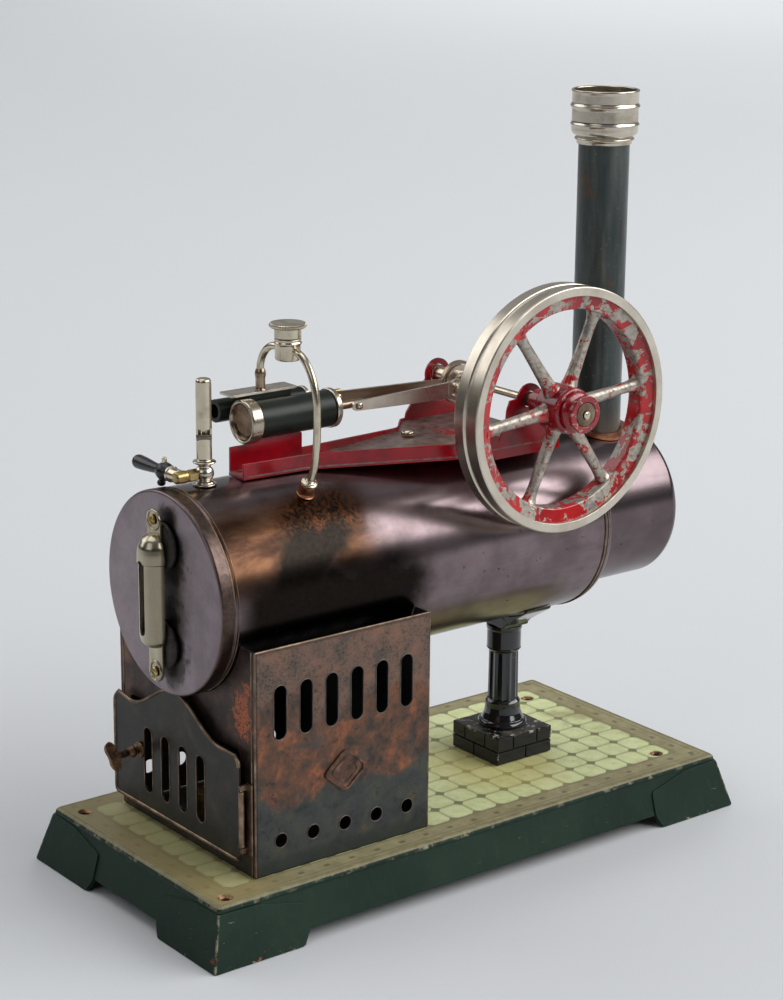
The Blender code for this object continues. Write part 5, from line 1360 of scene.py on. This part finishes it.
def build_whistle():
    seat = BOILER_Z + BOILER_R + GAP
    bulge = [(3.5 * math.cos(math.radians(t)), 160.9 + 3.3 * math.sin(math.radians(t)))
             for t in range(48, -49, -8)]
    profile = [(0, 166.0), (2.5, 166.0), (2.7, 165.6), (4.0, 165.5), (4.3, 165.1), (4.0, 164.7), (2.6, 164.5),
               (2.4, 163.9), *bulge, (2.4, 158.2), (3.3, 157.9), (3.6, 157.4), (4.3, 157.2), (4.4, seat),
               (0, seat)]
    lathe("whistle_foot", profile, "Z", WHISTLE, PALE_NICKEL, ["whistle_base"], sides=56, soft=0.15)
    tube = lathe_mesh(soften([(0, 195.7), (1.7, 195.7), (2.5, 195.4), (2.85, 194.6), (2.85, 166.2),
                              (0, 166.2)], 0.4), "Z", WHISTLE, False, 56)
    bore = lathe_mesh(bar_profile(2.2, 175.0, 193.0), "Z", WHISTLE, False, 40)
    facing = Matrix.Translation((WHISTLE[0] * MM, 0, 0)) @ Matrix.Rotation(math.radians(-30), 4, "Z")
    mouth = block_mesh((-4, -5, 173.9), (4, -0.5, 177.4), 0)
    mouth.transform(facing)
    ramp = block_mesh((-4, -5, -2.2), (4, -0.2, 0.0), 0)
    ramp.transform(facing @ Matrix.Translation((0, 0, 174.8 * MM))
                   @ Matrix.Rotation(math.radians(-28), 4, "X"))
    piece("whistle_pipe", cut_mesh(tube, [bore, mouth, ramp]), NICKEL, ROOT, ["whistle_tube"])
    body = lathe_mesh(soften(bar_profile(2.35, -95.2, -91.6), 0.2), "X", (0, WHISTLE_VALVE[1]), False, 6)
    link = lathe_mesh(soften([(0, -91.4), (1.7, -91.4), (1.7, -95.0), (2.1, -95.4), (2.3, -96.4),
                              (2.2, -100.2), (1.6, -100.6), (0, -100.6)], 0.3), "X", (0, WHISTLE_VALVE[1]),
                      False, 40)
    piece("valve_brass_body", joined([body, link]), BRASS, ROOT, ["whistle_valve_body"])
    elbow = [(0, 0.2), (2.2, 0.2), (2.6, 0.7), (2.6, 5.2), (3.0, 5.5), (3.0, 6.3), (2.6, 6.5), (1.5, 6.5),
             (1.5, 3.2), (0, 3.2)][::-1]
    lathe("valve_nickel_elbow", elbow, "Y", WHISTLE_VALVE, NICKEL, sides=48, soft=0.15)
    grip = [(0, 29.4), (1.6, 29.4), (2.4, 28.9), (2.65, 27.8), (2.5, 24.0), (1.75, 14.6), (1.9, 13.6),
            (2.9, 12.6), (3.5, 10.6), (3.2, 8.8), (2.4, 7.6), (2.3, 6.85), (1.2, 6.85), (1.2, 3.6), (0, 3.6)]
    handle = lathe_mesh(soften(grip, 0.35), "Y", WHISTLE_VALVE, False, 48)
    knob = lathe_mesh(soften([(0, 159.8), (0.8, 159.8), (0.8, 157.4), (1.3, 157.0), (1.65, 156.2),
                              (1.3, 155.3), (0.6, 154.9), (0, 154.8)], 0.25), "Z", (-98, 12.8), False, 32)
    piece("valve_handle", joined([handle, knob]), HANDLE, "whistle_valve",
          ["whistle_valve_handle"])
    lathe("valve_top_pin", [(0, 166.2), (0.6, 166.1), (0.95, 165.7), (0.95, 164.0), (0, 164.0)], "Z",
          (-98, 10.6), NICKEL, ["valve_cross_pin"], "whistle_valve", sides=24, soft=0.15)


def build_gauge():
    across = (-109.4, 0)
    shield = [(0, 142.2), (2.4, 141.9), (4.6, 140.4), (6.1, 137.8), (6.5, 134.9), (6.5, 131.8), (6.0, 131.5),
              (6.0, 104.6), (5.4, 102.0), (3.6, 100.2), (0, 99.4)]
    hollow = [(0, 137.6), (4.6, 137.4), (5.2, 136.0), (5.2, 105.4), (4.4, 103.8), (0, 103.8)]
    shell = lathe_mesh(soften(shield, 0.8), "Z", across, False, 72)
    inside = lathe_mesh(hollow, "Z", across, False, 64)
    behind = block_mesh((-109.3, -10, 80), (-95, 10, 160), 0)
    window = flat_mesh([slot_outline(0, 105.0, 133.0, 3.3)], "YZ", -119, -112.4, 0)
    shell = cut_mesh(shell, [inside, behind, window])
    shell = bevelled(shell, 0.12, 2, 50)
    ears = arc((0, 146.7), 4.4, 0, 180, 24) + arc((0, 91.0), 4.4, 180, 360, 24)
    ears = flat_mesh([ears, slot_outline(0, 104.0, 137.6, 7.4)], "YZ", -109.8, -109.0, 0.2)
    loops = [wire_mesh([(-109.9, y, z) for y, z in circle((0, z0), 3.6, 40)], 0.45, True)
             for z0 in (147.2, 90.6)]
    piece("gauge_shield", joined([shell, ears, *loops]), GAUGE_NICKEL, ROOT, ["gauge_frame"], 40)
    lathe("gauge_tube", [(1.7, 137.2), (2.2, 137.2), (2.2, 104.2), (1.7, 104.2)], "Z", (-111.4, 0), GLASS,
          ["gauge_glass"], closed=True, sides=40, soft=0.2)
    for name, node, z in (("gauge_boss_low", "gauge_lower_boss", 100.7),
                          ("gauge_boss_high", "gauge_upper_boss", 137.5)):
        boss = [(0, -106.5), (8.6, -106.5), (9.0, -106.9), (8.9, -107.8), (8.0, -108.5), (7.0, -108.65),
                (0, -108.7)]
        lathe(name, boss, "X", (-1.5, z), BOSS, [node], sides=72, soft=0.3)
    for name, node, z in (("gauge_low_screw", "gauge_screw_bottom", 90.4),
                          ("gauge_high_screw", "gauge_screw_top", 147.4)):
        head = lathe_mesh(soften([(0, -110.1), (1.9, -110.1), (1.9, -110.5), (1.5, -111.0), (0.8, -111.3),
                                  (0, -111.4)], 0.2), "X", (0, z), False, 36)
        groove = block_mesh((-112, -2.2, -0.3), (-110.9, 2.2, 0.3), 0)
        groove.transform(Matrix.Translation((0, 0, z * MM)) @ Matrix.Rotation(0.6, 4, "X"))
        piece(name, cut_mesh(head, [groove]), BRASS, ROOT, [node])


PIPE_X = -56.4
STUB_TURN = math.radians(28.5)
POT_Y = -7.4


def along_stub(distance):
    reach = BOILER_R + distance
    return (PIPE_X, -reach * math.sin(STUB_TURN), BOILER_Z + reach * math.cos(STUB_TURN))


def stub_piece(name, profile, material, node):
    mesh = lathe_mesh(soften(profile, 0.2), "Z", (0, 0), False, 56)
    mesh.transform(Matrix.Translation(Vector(along_stub(0)) * MM) @ Matrix.Rotation(STUB_TURN, 4, "X"))
    piece(name, mesh, material, ROOT, [node])


def build_steam_pipes():
    stub_piece("copper_stub",
               [(0, 4.7), (2.4, 4.7), (2.7, 4.3), (2.75, 1.4), (3.0, 0.6), (3.5, 0.25), (0, 0.25)], COPPER,
               "steam_stub")
    stub_piece("union_ring",
               [(0, 6.7), (1.6, 6.7), (1.9, 6.3), (2.9, 6.05), (3.2, 5.75), (3.2, 5.4), (2.9, 5.1),
                (2.3, 4.9), (0, 4.9)], NICKEL, "pipe_union_nut")
    knots = [along_stub(6.6), along_stub(8.4), (PIPE_X, -23.6, 164.0), (PIPE_X, -24.9, 172.0),
             (PIPE_X, -25.2, 179.0), (PIPE_X, -24.9, 187.0), (PIPE_X, -23.0, 194.0), (PIPE_X, -19.6, 199.2),
             (PIPE_X, -15.6, 202.3), (PIPE_X, -11.9, 203.3)]
    piece("boiler_pipe", wire_mesh(smooth_line(knots, 6), 1.4, False, 6), NICKEL, ROOT,
          ["steam_pipe_boiler"], 50)
    knots = [(PIPE_X, -2.9, 203.3), (PIPE_X, 1.6, 203.2), (PIPE_X, 5.4, 201.6), (PIPE_X, 8.4, 198.4),
             (PIPE_X, 9.8, 195.2), (PIPE_X, 10.0, 193.2)]
    piece("chest_pipe", wire_mesh(smooth_line(knots, 6), 1.4, False, 6), NICKEL, ROOT,
          ["steam_pipe_chest"], 50)
    sleeve = [(0, 193.5), (1.5, 193.5), (1.7, 193.0), (2.0, 192.2), (2.1, 191.2), (1.95, 190.4), (1.8, 189.8),
              (1.8, 186.4), (2.0, 185.7), (2.2, 185.4), (0, 185.4)]
    lathe("chest_pipe_sleeve", sleeve, "Z", (PIPE_X, 10.0), BROWN, ["pipe_sleeve"], sides=48,
          soft=0.3)
    pot = [(3.3, 207.5), (4.8, 207.5), (4.9, 207.3), (4.85, 206.6), (5.15, 206.1), (5.15, 205.7),
           (4.85, 205.3), (4.7, 204.9), (4.7, 200.4), (4.5, 199.8), (4.1, 199.6), (0, 199.6), (0, 200.8),
           (3.3, 200.8)]
    lathe("lubricator_cup", pot, "Z", (PIPE_X, POT_Y), NICKEL, ["lubricator_pot"], sides=72,
          soft=0.15)

    def knurled(radius, height, turn):
        return radius - (0.26 - 0.26 * math.cos(42 * turn) if radius > 6.3 and 211.5 < height < 213.2
                         else 0.0)
    lid = [(0, 213.35), (5.4, 213.35), (6.2, 213.25), (6.78, 212.9), (6.85, 212.6), (6.85, 212.0),
           (6.78, 211.8), (6.2, 211.45), (5.0, 211.4), (4.95, 211.2), (4.95, 208.0), (4.9, 207.9),
           (2.9, 207.9), (2.9, 203.8), (0, 203.8)]
    mesh = lathe_mesh(soften(lid, 0.12), "Z", (PIPE_X, POT_Y), False, 336, knurled)
    piece("lubricator_lid", mesh, NICKEL, "lubricator_cap", ["lubricator_cap"], 45)


build_base()
build_firebox()
build_emblem()
build_door()
build_boiler()
build_chimney()
build_column()
build_bed()
build_cylinder()
build_valve_chest()
build_crankshaft()
build_rods()
build_flywheel()
build_whistle()
build_gauge()
build_steam_pipes()
# the only CAD node that is shown as it is
show(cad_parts["burner_tank"], BRASS)


# ---------------------------------------------------------------- stage, lights and camera

def look_floor():
    look = Look("studio_paper")
    grain = look.noise(900, 3, 0.5, seed=251.0)
    broad = look.noise(1.6, 3, 0.5, seed=257.0)
    colour = look.mix(grain, (0.56, 0.575, 0.595), (0.585, 0.6, 0.615))
    colour = look.mix(broad * 0.15, colour, (0.5, 0.52, 0.54))
    look.bump(grain, 0.05, 0.1)
    return look.done(colour, grain.blend(0.75, 0.85), 0.0, Specular_IOR_Level=0.15)


def build_stage():
    shape = bmesh.new()
    bmesh.ops.create_grid(shape, x_segments=8, y_segments=8, size=14.0)
    floor = loose(finished(shape, False), "studio_floor")
    floor.location.z = -0.0002
    show(floor, look_floor())
    return floor


# name, direction from the middle of the object, distance, size, power, and whether it lights only the floor
LIGHTS = (("key_right", (0.593, -0.588, 0.55), 5.0, (6.6, 2.7), 275, False),
          ("overhead", (-0.05, 0.25, 1.0), 4.0, (3.4, 3.0), 45, False),
          ("left_fill", (-0.95, -0.25, 0.6), 4.0, (2.2, 1.8), 14, False),
          ("back_fill", (-0.4, 0.8, 0.55), 4.0, (3.2, 2.0), 34, False),
          ("far_floor", (0.66, 0.62, 0.42), 6.4, (3.4, 3.4), 115, True),
          ("right_floor", (0.74, -0.1, 0.66), 1.9, (1.2, 1.2), 4.5, True))
LIGHTS_MIDDLE = Vector((0, 0, 0.12))
WASH_FROM = Vector((0.3, -0.25, 0.92))


def shining_from(direction):
    """The turn that makes a light shine from a direction."""
    return (-direction).to_track_quat("-Z", "Y").to_euler()


def build_lights(floor):
    """Area lights that face the object, and floor-only ones that shine straight down or as an even wash."""
    lit = bpy.data.collections.new("lit_by_wash")
    lit.objects.link(floor)
    for name, direction, distance, size, power, floor_only in LIGHTS:
        direction = Vector(direction).normalized()
        light = bpy.data.lights.new(name, "AREA")
        light.shape = "RECTANGLE"
        light.size, light.size_y = size
        light.energy = power
        item = loose(light, name)
        item.location = LIGHTS_MIDDLE + direction * distance
        if floor_only:
            item.light_linking.receiver_collection = lit
        else:
            item.rotation_euler = shining_from(direction)
    wash = bpy.data.lights.new("floor_wash", "SUN")
    wash.energy = 0.05
    wash.angle = math.radians(70)
    item = loose(wash, "floor_wash")
    item.rotation_euler = shining_from(WASH_FROM)
    item.light_linking.receiver_collection = lit


BACKDROP = (0.34, 0.345, 0.355)
BACKDROP_TOWARDS = (0.62, 0.78, 0.0)


def build_world():
    """Dark low down and pale above, with a pale backdrop behind the object."""
    world = bpy.data.worlds.new("studio_air")
    bpy.context.scene.world = world
    world.use_nodes = True
    tree = world.node_tree

    def node(kind, **settings):
        made = tree.nodes.new(kind)
        for key, value in settings.items():
            setattr(made, key, value)
        return made
    place = node("ShaderNodeTexCoord").outputs["Generated"]
    parts = node("ShaderNodeSeparateXYZ")
    ramp = node("ShaderNodeValToRGB")
    behind = node("ShaderNodeVectorMath", operation="DOT_PRODUCT")
    behind.inputs[1].default_value = BACKDROP_TOWARDS
    rise = node("ShaderNodeMapRange", interpolation_type="SMOOTHSTEP")
    rise.inputs[1].default_value, rise.inputs[2].default_value = (0.55, 0.98)
    mixed = node("ShaderNodeMix", data_type="RGBA")
    mixed.inputs[7].default_value = (*BACKDROP, 1)
    shade = tree.nodes["Background"]
    shade.inputs[1].default_value = 0.9
    for source, target in ((place, parts.inputs[0]), (parts.outputs[2], ramp.inputs[0]),
                           (place, behind.inputs[0]), (behind.outputs["Value"], rise.inputs[0]),
                           (rise.outputs[0], mixed.inputs[0]), (ramp.outputs[0], mixed.inputs[6]),
                           (mixed.outputs[2], shade.inputs[0])):
        tree.links.new(source, target)
    stops = ramp.color_ramp.elements
    stops[1].position = 0.9
    stops.new(0.5)
    for stop, colour in zip(stops, ((0.035, 0.035, 0.037), (0.06, 0.06, 0.063), BACKDROP)):
        stop.color = (*colour, 1)


def build_camera():
    """The photograph's viewing angle."""
    camera = bpy.data.cameras.new("photo_camera")
    camera.sensor_fit = "VERTICAL"
    camera.sensor_height = 36.0
    camera.lens = 85.98
    camera.clip_end = 60.0
    item = loose(camera, "photo_camera")
    azimuth, elevation, roll = (math.radians(-37.99), math.radians(15.6), math.radians(0.51))
    back = Vector((math.sin(azimuth) * math.cos(elevation), -math.cos(azimuth) * math.cos(elevation),
                   math.sin(elevation)))
    right = Vector((0, 0, 1)).cross(back).normalized()
    basis = Matrix((right, back.cross(right), back)).transposed() @ Matrix.Rotation(roll, 3, "Z")
    item.matrix_world = Matrix.Translation((-0.54296, -0.69148, 0.38183)) @ basis.to_4x4()
    bpy.context.scene.camera = item


build_lights(build_stage())
build_world()
build_camera()
bpy.context.scene.view_settings.view_transform = "Standard"
